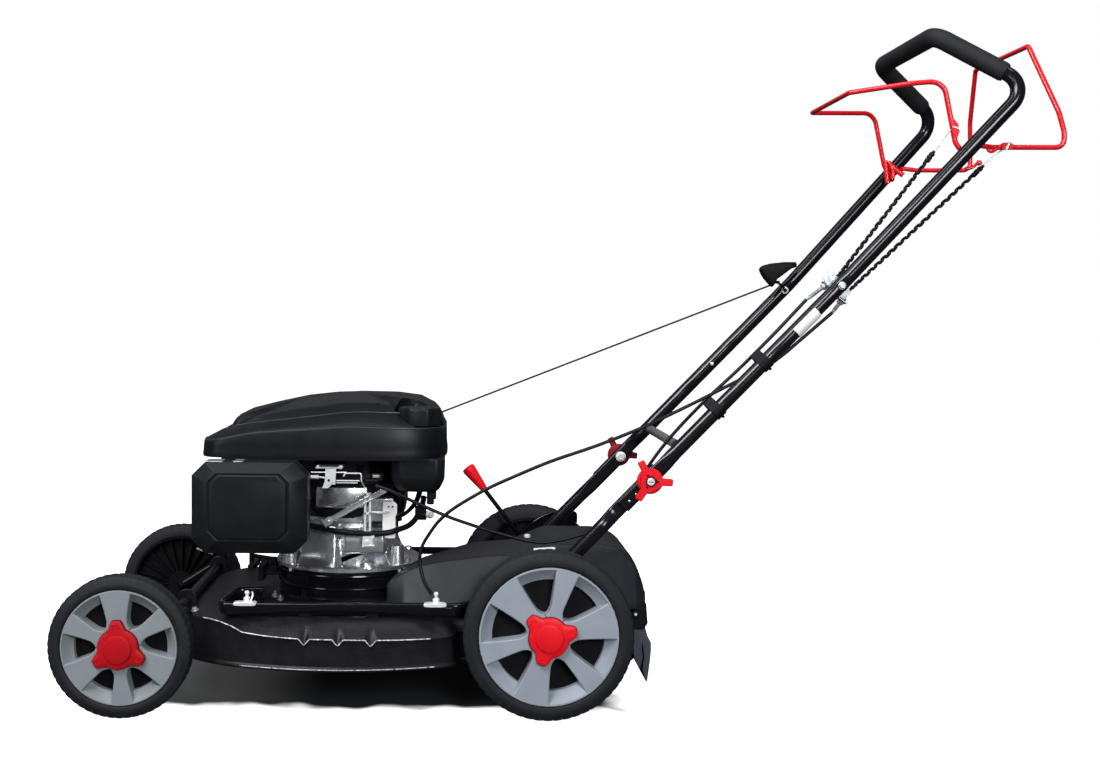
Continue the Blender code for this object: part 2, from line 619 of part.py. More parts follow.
# upper handle: two tubes, flattened at the fold, joined by the grip loop and a cross tube
corner_x = 0.8012
line_s = (corner_x - KNOB_X) / math.cos(SLOPE)
CORNER = handle_at(line_s, HANDLE_Y)
GRIP_TOP = Vector((0.6500, HANDLE_Y - 0.0466, 1.1410))
steps = [(-0.062, 1.0), (0.030, 1.0), (0.048, 0.5), (0.068, 0.0)]
start = [handle_at(a, HANDLE_Y + 0.0061 * b) for a, b in steps]
left = start + fillet([start[-1], CORNER, GRIP_TOP], [0.036], 6)[1:-1]
arc = fillet([CORNER, GRIP_TOP, Vector((GRIP_TOP.x, -GRIP_TOP.y, GRIP_TOP.z))], [0.034], 6)[1:-1]
right_half = left + arc
upper_path = [Vector((p.x, -p.y, p.z)) for p in right_half] + list(reversed(right_half))
last = len(upper_path) - 1


def upper_size(k):
    n = min(k, last - k)
    return flat_mix(steps[n][1] if n < len(steps) else 0.0)


upper_handle = add_object("upper_handle", sweep(upper_path, upper_size, 10), "gloss")
cross = handle_at(0.077, 0)
boolean(upper_handle, rod((cross.x, -HANDLE_Y, cross.z), (cross.x, HANDLE_Y, cross.z), 0.0080, 10), "UNION")
wide = HANDLE_Y + 0.0674
boolean(upper_handle, rod((KNOB_X, -wide, KNOB_Z), (KNOB_X, wide, KNOB_Z), 0.0040 + GAP, 12))
for bx, bz in ((BRAKE_X, BRAKE_Z), (DRIVE_X, DRIVE_Z)):
    boolean(upper_handle, rod((bx, -wide, bz), (bx, wide, bz), WIRE_R + 0.0006, 10))

# foam grip on the upper loop
grip_half = fillet([CORNER, GRIP_TOP, Vector((GRIP_TOP.x, -GRIP_TOP.y, GRIP_TOP.z))], [0.034], 6)[1:-1]
first = CORNER + (GRIP_TOP - CORNER) * 0.275
grip_path = [Vector((p.x, -p.y, p.z)) for p in [first] + grip_half] + list(reversed([first] + grip_half))
handle_grip = add_object("handle_grip", sweep(grip_path, GRIP_R, 12), "rubber")
bore_path = [grip_path[0] + (grip_path[0] - grip_path[1]).normalized() * 0.01] + grip_path + [
    grip_path[-1] + (grip_path[-1] - grip_path[-2]).normalized() * 0.01]
boolean(handle_grip, sweep(bore_path, TUBE_R + 0.0008, 12))

# bails: bent wire loops that pivot in the handle tubes
def bail(name, half, radius, lug):
    pts = fillet([Vector(p) for p in half] + [Vector((half[-1][0], -half[-1][1], half[-1][2]))], radius, 3)[:-1]
    mirror = [Vector((p.x, -p.y, p.z)) for p in pts]
    obj = add_object(name, sweep(mirror + list(reversed(pts)), WIRE_R, 8, up=(0.3, 0.2, 1)), "red")
    a, b = [Vector(p) for p in lug]
    boolean(obj, rod(a, b, 0.0022, 8), "UNION")
    return obj


BAIL_Y = HANDLE_Y - 0.0221
brake_bail = bail("brake_bail", [
    (BRAKE_X, HANDLE_Y + 0.002, BRAKE_Z), (BRAKE_X, BAIL_Y, BRAKE_Z), (0.6725, BAIL_Y, 0.9900),
    (0.6450, BAIL_Y, 1.0640), (0.5165, BAIL_Y - 0.0555, 1.0505)], [0.006, 0.03, 0.018, 0.010],
    [(0.6725, -BAIL_Y + 0.002, 0.9900), (0.6610, -BAIL_Y + 0.008, 0.9840)])
BACK_X = 0.8605
drive_bail = bail("drive_bail", [
    (DRIVE_X, HANDLE_Y + 0.002, DRIVE_Z), (DRIVE_X, BAIL_Y, DRIVE_Z), (BACK_X, BAIL_Y, 0.9600),
    (BACK_X, BAIL_Y - 0.0105, 1.0277), (0.8230, BAIL_Y - 0.0555, 1.1345)], [0.006, 0.020, 0.03, 0.012],
    [(0.7700, -BAIL_Y + 0.001, DRIVE_Z + 0.002), (0.7680, -BAIL_Y + 0.006, DRIVE_Z - 0.012)])

# fold knobs: a disc with three arms on each fold bolt
def fold_knob(tag, s):
    steps = [(-26, 0), (-15, 1), (-9, 2), (9, 2), (15, 1), (26, 0), (43, 0), (60, 0), (77, 0)]
    reach = (0.0225, 0.0245, 0.0375)
    y0 = HANDLE_Y + 0.0061 + FLAT_T + GAP
    loops = []
    for scale, rise in ((0.92, 0.0), (1.0, 0.0025), (1.0, 0.0120), (0.93, 0.0150)):
        ring = []
        for k in range(3):
            for deg, n in steps:
                a = math.radians(-3 + deg) + k * TAU / 3
                ring.append(Vector((KNOB_X + reach[n] * scale * math.cos(a), s * (y0 + rise),
                                    KNOB_Z + reach[n] * scale * math.sin(a))))
        loops.append(ring)
    top = [Vector((KNOB_X + 0.013 * math.cos(TAU * k / 27), s * (y0 + 0.0152),
                   KNOB_Z + 0.013 * math.sin(TAU * k / 27))) for k in range(27)]
    loops.append(top)
    loops.append([Vector((KNOB_X + (p.x - KNOB_X) * 0.85, s * (y0 + 0.0200),
                          KNOB_Z + (p.z - KNOB_Z) * 0.85)) for p in top])
    obj = add_object("fold_knob_" + tag, skin(loops), "red")
    boolean(obj, rod((KNOB_X, s * (HANDLE_Y - 0.0026), KNOB_Z), (KNOB_X, s * (y0 + 0.0165), KNOB_Z), 0.0040 + GAP, 12))
    return obj


knob_left = fold_knob("left", -1)
knob_right = fold_knob("right", 1)

# engine
MID = Vector((BLADE_X, 0.0, 0.0))
mount_ring = add_object("mount_ring", revolve(MID, (0, 0, 1), [
    (0.108, DECK_TOP + GAP), (RING_R + 0.004, DECK_TOP + GAP), (RING_R + 0.002, DECK_TOP + 0.006),
    (RING_R, DECK_TOP + 0.010), (RING_R, RING_TOP), (0.108, RING_TOP)], 32, closed=True), "gloss")
boolean(mount_ring, block(BLADE_X + 0.05, -0.19, -0.052, 0.052, BELT_Z - 0.012, BELT_Z + 0.0110))

bore = 0.0110 + GAP
crankcase = add_object("crankcase", revolve(MID, (0, 0, 1), [
    (bore, RING_TOP + GAP), (CASE_R, RING_TOP + GAP), (CASE_R, RING_TOP + 0.0075), (0.108, 0.2290),
    (0.090, 0.2400), (0.081, 0.2600), (0.080, 0.2960), (0.088, 0.2990), (0.088, 0.3050), (0.080, 0.3080),
    (0.080, 0.3440), (0.066, 0.3520), (0.060, 0.3900), (0.030, 0.4020), (bore, 0.4020)], 32, closed=True),
    "cast", 30)


def fins(x0, x1, z0, z1, count, deep):
    """Comb outline: cooling fins above and below a core."""
    pts = [(x0, z0), (x0, z1)]
    step = (x1 - x0) / count
    for k in range(count):
        a = x0 + step * k
        pts += [(a + step * 0.42, z1), (a + step * 0.42, z1 - deep), (a + step * 0.99, z1 - deep),
                (a + step * 0.99, z1)]
    pts = pts[:-1] + [(x1, z1 - deep), (x1, z0 + deep)]
    for k in reversed(range(count)):
        a = x0 + step * k
        pts += [(a + step * 0.99, z0 + deep), (a + step * 0.42, z0 + deep), (a + step * 0.42, z0)]
    clean = []
    for p in pts:
        if not clean or (abs(p[0] - clean[-1][0]) + abs(p[1] - clean[-1][1])) > 1e-6:
            clean.append(p)
    return clean


cyl_z0, cyl_z1 = 0.290, 0.385
boolean(crankcase, prism(fins(-0.486, -0.395, cyl_z0, cyl_z1, 7, 0.014), -0.056, 0.056), "UNION")
boolean(crankcase, join(block(-0.400, -0.300, -0.112, -0.02, 0.240, 0.2960),
                        block(-0.330, -0.262, -0.098, -0.02, 0.2965, 0.3400)), "UNION")
boolean(crankcase, rod((DIP_X, DIP_Y, 0.2180), (DIP_X, DIP_Y, 0.2300), 0.0130, 16), "UNION")
# base plate that carries the hood and steadies the tank
boolean(crankcase, block(-0.480, -0.2623, -0.050, 0.050, 0.3970, HOOD_LIP - GAP), "UNION")
boolean(crankcase, block(-0.500, -0.460, -0.0500, HOOD_HALF_W - 0.0008, 0.4090, HOOD_LIP - GAP), "UNION")
boolean(crankcase, block(-0.325, -0.285, 0.040, HOOD_HALF_W - 0.0015, 0.4085, HOOD_LIP - GAP), "UNION")
boolean(crankcase, rod((BLADE_X, 0, 0.19), (BLADE_X, 0, 0.45), bore, 20))
cylinder_head = add_object("cylinder_head", prism(
    fins(-0.5300, -0.4863, cyl_z0 - 0.004, cyl_z1 + 0.004, 4, 0.012), -0.060, 0.060), "cast", 30)
boolean(cylinder_head, rod((-0.552, 0.018, 0.3375), (-0.525, 0.018, 0.3375), 0.0085, 6), "UNION")

crankshaft = add_object("crankshaft", rod((BLADE_X, 0, 0.1080), (BLADE_X, 0, 0.4680), 0.0110, 20), "steel")
boolean(crankshaft, rod((BLADE_X, 0, BELT_Z - 0.008), (BLADE_X, 0, BELT_Z + 0.008), 0.0300, 24), "UNION")
boolean(crankshaft, revolve(MID, (0, 0, 1), [
    (0.0255, BELT_Z - 0.0035), (0.036, BELT_Z - 0.0072), (0.036, BELT_Z + 0.0072), (0.0255, BELT_Z + 0.0035)],
    24, closed=True))
flywheel = add_object("flywheel", revolve(MID, (0, 0, 1), [
    (0.0110 + GAP, 0.4195), (0.090, 0.4195), (0.096, 0.4235), (0.096, 0.4360), (0.086, 0.4380), (0.060, 0.4380),
    (0.056, 0.4540), (0.030, 0.4560), (0.0110 + GAP, 0.4560)], 24, closed=True), "cast")
blade_adapter = add_object("blade_adapter", revolve(MID, (0, 0, 1), [
    (0.0110 + GAP, 0.1080), (0.030, 0.1080), (0.030, 0.1130), (0.018, 0.1180), (0.018, 0.1480),
    (0.0110 + GAP, 0.1480)], 24, closed=True), "steel")

# blade: a flat bar whose trailing edges turn up near the tips
BLADE_Z = 0.1060


def blade_ring(x, width, left, right):
    w, t = width / 2, 0.0016
    rows = [(-w, -t + left), (0.0, -t), (w, -t + right), (w, t + right), (0.0, t), (-w, t + left)]
    return [Vector((BLADE_X + x, y, BLADE_Z + z)) for y, z in rows]


stations = [(-BLADE_R, 0.050, 0.016, 0.0), (-0.165, 0.052, 0.016, 0.0), (-0.120, 0.058, 0.0, 0.0),
            (0.120, 0.058, 0.0, 0.0), (0.165, 0.052, 0.0, 0.016), (BLADE_R, 0.050, 0.0, 0.016)]
blade = add_object("blade", skin([blade_ring(*row) for row in stations]), "steel", 20)
blade_bolt = add_object("blade_bolt", join(rod((BLADE_X, 0, 0.0940), (BLADE_X, 0, 0.1041), 0.0110, 6)), "zinc")

# gearbox under the cover, with its pulley and the drive belt
GEAR_X = -0.010
gearbox = add_object("gearbox", slab([(GEAR_X - 0.040, -0.030), (GEAR_X - 0.028, -0.045), (GEAR_X + 0.028, -0.045),
                                      (GEAR_X + 0.040, -0.030), (GEAR_X + 0.040, 0.030), (GEAR_X + 0.028, 0.045),
                                      (GEAR_X - 0.028, 0.045), (GEAR_X - 0.040, 0.030)],
                                     DECK_TOP + GAP, 0.1860), "cast", 30)
PULLEY_R = 0.0450
gear_pulley = add_object("gearbox_pulley", skin([circle((GEAR_X, 0, z), (0, 0, 1), r, 28) for r, z in (
    (0.012, 0.1863), (0.012, BELT_Z - 0.0080), (PULLEY_R, BELT_Z - 0.0080), (PULLEY_R, BELT_Z - 0.0066),
    (PULLEY_R - 0.0095, BELT_Z - 0.0036), (PULLEY_R - 0.0095, BELT_Z + 0.0036),
    (PULLEY_R, BELT_Z + 0.0066), (PULLEY_R, BELT_Z + 0.0080))]), "steel")
span = GEAR_X - BLADE_X
r1, r2 = 0.0300 - 0.0002, PULLEY_R - 0.0002
lean = math.asin((r2 - r1) / span)
belt = []
for cx, r, a0, a1 in ((BLADE_X, r1, math.pi / 2 + lean, 3 * math.pi / 2 - lean),
                      (GEAR_X, r2, -math.pi / 2 - lean, math.pi / 2 + lean)):
    for k in range(13):
        a = a0 + (a1 - a0) * k / 12
        belt.append((cx, r, a))


def belt_loop(grow, z):
    return [Vector((cx + (r + grow) * math.cos(a), (r + grow) * math.sin(a), z)) for cx, r, a in belt]


drive_belt = add_object("drive_belt", skin([
    belt_loop(-0.0036, BELT_Z - 0.0024), belt_loop(0.0022, BELT_Z - 0.0040), belt_loop(0.0022, BELT_Z + 0.0040),
    belt_loop(-0.0036, BELT_Z + 0.0024)], closed=True), "rubber")

# engine hood
def hood_plan(count=36):
    cx, a = (HOOD_X0 + HOOD_X1) / 2, (HOOD_X1 - HOOD_X0) / 2
    out = []
    for k in range(count):
        t = TAU * (k + 0.5) / count
        c, s = math.cos(t), math.sin(t)
        out.append((cx + a * math.copysign(abs(c) ** 0.42, c), HOOD_HALF_W * math.copysign(abs(s) ** 0.42, s)))
    return out


def hood_ridge(x):
    t = (x + 0.341) / (0.229 if x < -0.341 else 0.165)
    return 0.4706 - (0.0256 if x < -0.341 else 0.005) * t * t


def hood_dome(x):
    t = abs(x + 0.335) / (0.224 if x < -0.335 else 0.168)
    return 0.5215 - (0.052 if x < -0.335 else 0.028) * t ** 2.2


def hood_loop(d, mix, drop=0.0, lip=None):
    out = []
    mid, a = (HOOD_X0 + HOOD_X1) / 2, (HOOD_X1 - HOOD_X0) / 2
    for px, py in hood_plan():
        x, y = mid + (px - mid) * (1 - d / a), py * (1 - d / HOOD_HALF_W)
        z = lip if lip is not None else hood_ridge(x) * (1 - mix) + hood_dome(x) * mix - drop
        out.append(Vector((x, y, z)))
    return out


over = [hood_loop(0.0, 0, 0, HOOD_LIP), hood_loop(0.0015, 0.0), hood_loop(0.010, 0.10), hood_loop(0.024, 0.48),
        hood_loop(0.044, 0.70), hood_loop(0.075, 0.92), hood_loop(0.110, 1.0)]
below = [hood_loop(0.109, 1.0, HOOD_T), hood_loop(0.074, 0.92, HOOD_T), hood_loop(0.044, 0.70, 0.0036),
         hood_loop(0.0255, 0.48, 0.0042), hood_loop(0.0115, 0.10, 0.0042), hood_loop(0.0044, 0.0, 0.003),
         hood_loop(HOOD_T, 0, 0, HOOD_LIP)]


def hood_shell():
    bm = bmesh.new()
    rows = [[bm.verts.new(p) for p in loop] for loop in over]
    rows_in = [[bm.verts.new(p) for p in loop] for loop in below]
    count = len(rows[0])
    pairs = list(zip(rows, rows[1:])) + list(zip(rows_in, rows_in[1:])) + [(rows_in[-1], rows[0])]
    for a, b in pairs:
        for i in range(count):
            j = (i + 1) % count
            bm.faces.new((a[i], a[j], b[j], b[i]))
    half = count // 2
    for ring in (rows[-1], rows_in[0]):
        # strips from the left side to the right side follow the curve of the top
        for i in range(half - 1):
            bm.faces.new((ring[i], ring[i + 1], ring[count - 2 - i], ring[count - 1 - i]))
    return bm


engine_shroud = add_object("engine_shroud", hood_shell(), "plastic", 26)
boolean(engine_shroud, rod((CAP_X, CAP_Y, 0.4560), (CAP_X, CAP_Y, 0.4900), 0.0445, 28), "UNION")
boolean(engine_shroud, rod((CAP_X, CAP_Y, 0.4700), (CAP_X, CAP_Y, 0.5300), 0.0395, 28))
boolean(engine_shroud, rod((CAP_X, CAP_Y, 0.4400), (CAP_X, CAP_Y, 0.4800), 0.0200, 20))
boolean(engine_shroud, rod((-0.205, HOOD_HALF_W - 0.055, 0.4640), (-0.140, HOOD_HALF_W - 0.028, 0.4910), 0.0050, 10))

# fuel tank with its filler neck
tank_y = HOOD_HALF_W - 0.007
tank_plan = [(-0.342, -tank_y), (-0.180, -tank_y), (-0.1725, 0.013 - tank_y), (-0.1725, 0.060), (-0.262, 0.060),
             (-0.262, -0.092), (-0.342, -0.096)]
tank_loops = []
for d, z in ((0.010, 0.3570), (0.0, 0.3680), (0.0, 0.4150)):
    tank_loops.append([Vector((x, y, z)) for x, y in inset(tank_plan, d)])
fuel_tank = add_object("fuel_tank", skin(tank_loops, start=False, end=False), "plastic", 30)
fuel_mesh = fuel_tank.data
bm = bmesh.new()
bm.from_mesh(fuel_mesh)
bmesh.ops.holes_fill(bm, edges=[e for e in bm.edges if e.is_boundary], sides=20)
bmesh.ops.recalc_face_normals(bm, faces=bm.faces)
bm.to_mesh(fuel_mesh)
bm.free()
boolean(fuel_tank, rod((CAP_X, CAP_Y, 0.4000), (CAP_X, CAP_Y, 0.4740), 0.0190, 20), "UNION")
boolean(fuel_tank, rod((CAP_X, CAP_Y, 0.3850), (CAP_X, CAP_Y, 0.4900), 0.0160, 20))
boolean(fuel_tank, block(-0.203, -0.187, CAP_Y - 0.018, CAP_Y + 0.002, 0.3345, 0.3600), "UNION")

# scalloped fuel cap, its skirt round the neck
loops = []
for scale, z in ((0.92, 0.4744), (1.0, 0.4780), (1.0, 0.4970), (0.93, 0.5030), (0.60, 0.5050)):
    ring = []
    for k in range(32):
        a = TAU * k / 32
        r = 0.0365 - 0.0022 * (0.5 - 0.5 * math.cos(8 * a))
        ring.append(Vector((CAP_X + r * scale * math.cos(a), CAP_Y + r * scale * math.sin(a), z)))
    loops.append(ring)
fuel_cap = add_object("fuel_cap", skin(loops), "plastic", 30)

# air filter: octagonal cover on a back plate, and the carburettor behind it
AIR_X0, AIR_X1, AIR_Z0, AIR_Z1 = -0.5805, -0.3975, 0.2735, 0.4155


def octagon(d, cut):
    x0, x1, z0, z1 = AIR_X0 + d, AIR_X1 - d, AIR_Z0 + d, AIR_Z1 - d
    return [(x0 + cut, z0), (x1 - cut, z0), (x1, z0 + cut), (x1, z1 - cut), (x1 - cut, z1), (x0 + cut, z1),
            (x0, z1 - cut), (x0, z0 + cut)]


def octagon_loops(rows):
    return [[Vector((x, y, z)) for x, z in octagon(d, cut)] for y, d, cut in rows]


air_cover = add_object("air_filter_cover", skin(octagon_loops([
    (-0.1865, 0.0, 0.018), (-0.2380, 0.0, 0.018), (-0.2440, 0.004, 0.018), (-0.2490, 0.020, 0.012),
    (-0.2525, 0.0215, 0.012)])), "plastic", 20)
boolean(air_cover, skin(octagon_loops([(-0.1800, 0.003, 0.017), (-0.2350, 0.003, 0.017)])))
air_base = add_object("air_filter_base", skin(octagon_loops([
    (-0.1862, 0.0, 0.018), (-0.1720, 0.0, 0.018), (-0.1660, 0.008, 0.016)])), "plastic", 20)
boolean(air_base, rod((-0.450, -0.170, 0.352), (-0.450, -0.1400, 0.352), 0.020, 16), "UNION")
carb = add_object("carburettor", block(-0.474, -0.426, -0.1395, -0.085, 0.330, 0.374), "cast", 30)
boolean(carb, rod((-0.450, -0.112, 0.300), (-0.450, -0.112, 0.332), 0.021, 20), "UNION")
boolean(carb, rod((-0.450, -0.090, 0.352), (-0.450, -0.0563, 0.352), 0.015, 16), "UNION")

# muffler on the right of the cylinder
muffler = add_object("muffler", skin([
    [Vector((x, y, z)) for x, z in inset([(-0.545, 0.262), (-0.405, 0.262), (-0.405, 0.372), (-0.545, 0.372)], d)]
    for y, d in ((0.088, 0.010), (0.096, 0.0), (0.146, 0.0), (0.156, 0.012))]), "steel", 30)
boolean(muffler, rod((-0.450, 0.0563, 0.330), (-0.450, 0.092, 0.330), 0.013, 16), "UNION")

# throttle bracket, brake plate and governor lever on the left of the engine
control_bracket = add_object("control_bracket", prism([
    (-0.392, 0.3850), (-0.346, 0.3850), (-0.346, 0.3980), (-0.392, 0.3980)], -0.1600, -0.1580), "zinc", 30)
boolean(control_bracket, prism([(-0.374, 0.3660), (-0.356, 0.3660), (-0.356, 0.3950), (-0.374, 0.3950)],
                               -0.1585, -0.1560), "UNION")
boolean(control_bracket, block(-0.392, -0.346, -0.1585, -0.0498, 0.3944, 0.3966), "UNION")
boolean(control_bracket, rod((-0.392, -0.154, 0.3755), (-0.352, -0.154, 0.3755), 0.0040, 10), "UNION")
boolean(control_bracket, block(-0.372, -0.358, -0.1575, -0.1500, 0.3700, 0.3810), "UNION")
brake_plate = add_object("brake_plate", prism([
    (-0.2790, 0.2830), (-0.2590, 0.2830), (-0.2590, 0.3430), (-0.2790, 0.3430)], -0.1130, -0.1108), "zinc", 30)
boolean(brake_plate, block(-0.2790, -0.2590, -0.1115, -0.0984, 0.3395, 0.3430), "UNION")
boolean(brake_plate, rod((-0.269, -0.12, 0.296), (-0.269, -0.10, 0.296), 0.0030, 10))
GOV_X, GOV_Z = -0.3035, 0.2740
gov = [(-0.0085, -0.007), (0.0085, -0.007), (0.0055, 0.020), (0.0055, 0.0815), (-0.0055, 0.0815), (-0.0055, 0.020)]
governor_lever = add_object("governor_lever", prism([(GOV_X + a, GOV_Z + b) for a, b in gov], -0.1320, -0.1300),
                            "zinc", 30)
boolean(governor_lever, block(GOV_X - 0.0018, GOV_X + 0.0018, -0.14, -0.12, GOV_Z + 0.022, GOV_Z + 0.074))
boolean(governor_lever, rod((GOV_X, -0.1370, GOV_Z), (GOV_X, -0.1128, GOV_Z), 0.0032, 12), "UNION")

dipstick = add_object("dipstick", revolve((DIP_X, DIP_Y, 0.0), (0, 0, 1), [
    (0.009, 0.2303), (0.009, 0.2700), (0.0155, 0.2720), (0.0155, 0.2840), (0.0120, 0.2870)], 16), "plastic")

# quadrant beside the height lever, welded to the deck's right rear side
QUAD_Y = ARM_Y - 0.0070
quad = []
for k in range(9):
    a = math.radians(158 - 88 * k / 8)
    quad.append((REAR_PIVOT[0] + 0.089 * math.cos(a), REAR_PIVOT[1] + 0.089 * math.sin(a)))
quad += [(0.1270, 0.2600), (0.1270, 0.1000), (0.1150, 0.1000), (0.1150, 0.2540)]
for k in range(9):
    a = math.radians(70 + 88 * k / 8)
    quad.append((REAR_PIVOT[0] + 0.079 * math.cos(a), REAR_PIVOT[1] + 0.079 * math.sin(a)))
boolean(deck, prism(quad, QUAD_Y + 0.0005, QUAD_Y + 0.0035), "UNION")
boolean(deck, block(0.1150, 0.1270, QUAD_Y - 0.0225, QUAD_Y + 0.0020, 0.1000, 0.1180), "UNION")

# cables: lower housings from the handle to the engine and the drive, upper ends to the bails
CABLE_R = 0.0025
BRAKE_Y, DRIVE_Y = 0.0306 - HANDLE_Y, 0.0226 - HANDLE_Y
BRAKE_ENDS = (Vector((0.4915, BRAKE_Y, 0.7340)), Vector((0.4386, BRAKE_Y, 0.6943)))
DRIVE_ENDS = (Vector((0.5080, DRIVE_Y, 0.7092)), Vector((0.4810, DRIVE_Y, 0.6727)))


def past(ends, n):
    """Point just beyond one end of an adjuster."""
    a, b = ends[n], ends[1 - n]
    return a + (a - b).normalized() * 0.0010


def beside(x, inboard, z):
    """Point on the left, measured inwards from the middle plane of the left handle tube."""
    return Vector((x, inboard - HANDLE_Y, z))


def off_hood(x, out, z):
    """Point on the left, measured outwards from the hood's side."""
    return Vector((x, -HOOD_HALF_W - out, z))


brake_cable = add_object("brake_cable", sweep(smooth([
    past(BRAKE_ENDS, 1), beside(0.3867, 0.0326, 0.6369), beside(0.3288, 0.0346, 0.5766),
    beside(0.2700, 0.0346, 0.5200), beside(0.2148, 0.0346, 0.4600), beside(0.1777, 0.0326, 0.4109),
    beside(0.1476, 0.0306, 0.3620), beside(0.1185, 0.0266, 0.3254), beside(0.0894, 0.0216, 0.3035),
    beside(0.0569, 0.0186, 0.2895), beside(0.0109, 0.0146, 0.2790), beside(-0.0217, 0.0116, 0.2790),
    off_hood(-0.0713, 0.0060, 0.2911), off_hood(-0.1207, 0.0120, 0.3069), off_hood(-0.1680, 0.0180, 0.3241),
    off_hood(-0.2219, 0.0180, 0.3473), off_hood(-0.2626, 0.0100, 0.3646), off_hood(-0.2880, -0.0020, 0.3715)], 2),
    CABLE_R, 8),
    "plastic")
drive_cable = add_object("drive_cable", sweep(smooth([
    past(DRIVE_ENDS, 1), beside(0.4371, 0.0226, 0.6291), beside(0.3988, 0.0226, 0.5960),
    beside(0.3600, 0.0226, 0.5724), beside(0.3227, 0.0226, 0.5550), beside(0.2631, 0.0211, 0.5241),
    beside(0.2116, 0.0186, 0.4986), beside(0.1551, 0.0066, 0.4734), beside(0.0805, -0.0054, 0.4448),
    beside(0.0065, -0.0124, 0.4196), beside(-0.0503, -0.0174, 0.3962), beside(-0.1018, -0.0174, 0.3722),
    beside(-0.1531, -0.0174, 0.3416), beside(-0.1796, -0.0174, 0.3195), beside(-0.1961, -0.0174, 0.2975),
    beside(-0.2092, -0.0174, 0.2738), beside(-0.2123, -0.0194, 0.2485), beside(-0.2053, -0.0264, 0.2192),
    beside(-0.1920, -0.0354, 0.1980)], 2), CABLE_R, 8), "plastic")
ACROSS = Vector((-ALONG.z, 0.0, ALONG.x))
BRACKET_S = 0.4560               # along the handle from the fold bolt


def cable_sleeve(name, low, high, twist_turns):
    """Twisted cover over a straight cable: a tube whose middle line winds round the cable."""
    a, b = Vector(low), Vector(high)
    axis = (b - a).normalized()
    u, v = frame_at(axis)
    pts = []
    count = 36
    for k in range(count + 1):
        t = k / count
        swing = 0.0009 * min(1.0, 8 * t, 8 * (1 - t))
        ang = twist_turns * TAU * t
        pts.append(a + (b - a) * t + u * swing * math.cos(ang) + v * swing * math.sin(ang))
    return add_object(name, sweep(pts, 0.0032, 6), "rubber")


brake_cable_sleeve = cable_sleeve("brake_cable_sleeve", past(BRAKE_ENDS, 0), (0.6640, 0.0035 - BAIL_Y, 0.9690), 9)
drive_cable_sleeve = cable_sleeve("drive_cable_sleeve", past(DRIVE_ENDS, 0), (0.7540, 0.0015 - BAIL_Y, 0.9430), 9)

# zinc bracket that holds both cable adjusters on the left tube
hub = handle_at(BRACKET_S, 0)
cable_bracket = add_object("cable_bracket", skin([[
    hub + ALONG * a + ACROSS * b + Vector((0, y, 0)) for a, b in
    ((-0.010, -0.026), (0.010, -0.026), (0.012, 0.0), (0.010, 0.028), (-0.010, 0.028), (-0.012, 0.0))]
    for y in (TUBE_R + 0.0004 - HANDLE_Y, TUBE_R + 0.0024 - HANDLE_Y)]), "zinc", 30)


def ear(p, reach):
    """Small tab across a cable, from the plate to just past the adjuster."""
    p = Vector(p)
    ring = [p + ALONG * a + ACROSS * b for a, b in ((-0.0015, -0.007), (0.0015, -0.007), (0.0015, 0.007),
                                                    (-0.0015, 0.007))]
    return skin([[Vector((q.x, y, q.z)) for q in ring] for y in (TUBE_R + 0.0011 - HANDLE_Y, reach)])


BRAKE_EAR = BRAKE_ENDS[0].lerp(BRAKE_ENDS[1], 0.40)
DRIVE_EAR = DRIVE_ENDS[0].lerp(DRIVE_ENDS[1], 0.45)
boolean(cable_bracket, ear(BRAKE_EAR, BRAKE_Y + 0.0070), "UNION")
boolean(cable_bracket, ear(DRIVE_EAR, DRIVE_Y + 0.0070), "UNION")
for top, low in (BRAKE_ENDS, DRIVE_ENDS):
    reach = (low - top).length
    boolean(cable_bracket, revolve(top, low - top, [
        (0.0018, 0.0), (0.0038, 0.0040), (0.0038, reach - 0.0040), (0.0018, reach)], 10), "UNION")

# starter rope, its guide on the right tube and the hand grip
EYE = Vector((0.4600, HANDLE_Y - 0.0306, 0.7300))
bolt_at = handle_at((0.4842 - KNOB_X) / math.cos(SLOPE), HANDLE_Y - 0.0126)
ring = []
pull = Vector((-0.15, 0.0, 0.9887))
for k in range(13):
    a = math.radians(20 + 300 * k / 12)
    ring.append(EYE + Vector((0.0085 * math.cos(a), 0.0085 * math.sin(a), 0.0012 * k / 12)))
tail = [Vector((bolt_at.x, bolt_at.y - 0.0020, bolt_at.z)), Vector((bolt_at.x - 0.004, HANDLE_Y - 0.0236, bolt_at.z + 0.004)),
        ring[0] + Vector((0.001, 0.003, -0.001))]
rope_guide = add_object("rope_guide", sweep(tail + ring, 0.0022, 6, up=(0.2, 0.1, 1)), "zinc")
boolean(rope_guide, rod((bolt_at.x, HANDLE_Y - 0.0124, bolt_at.z), (bolt_at.x, HANDLE_Y - 0.0186, bolt_at.z), 0.0055,
                        10), "UNION")

rope_in = Vector((-0.1800, HOOD_HALF_W - 0.0390, 0.4745))
rope_path = [rope_in]
under = EYE + Vector((-0.0040, 0.0, -0.0035))
for k in range(1, 13):
    rope_path.append(rope_in + (under - rope_in) * (k / 12))
rope_path += [EYE + Vector((0.0, 0.0, 0.0020)), EYE + pull * 0.0140]
starter_rope = add_object("starter_rope", sweep(rope_path, 0.0013, 6, up=(0, 1, 0.1)), "plastic")

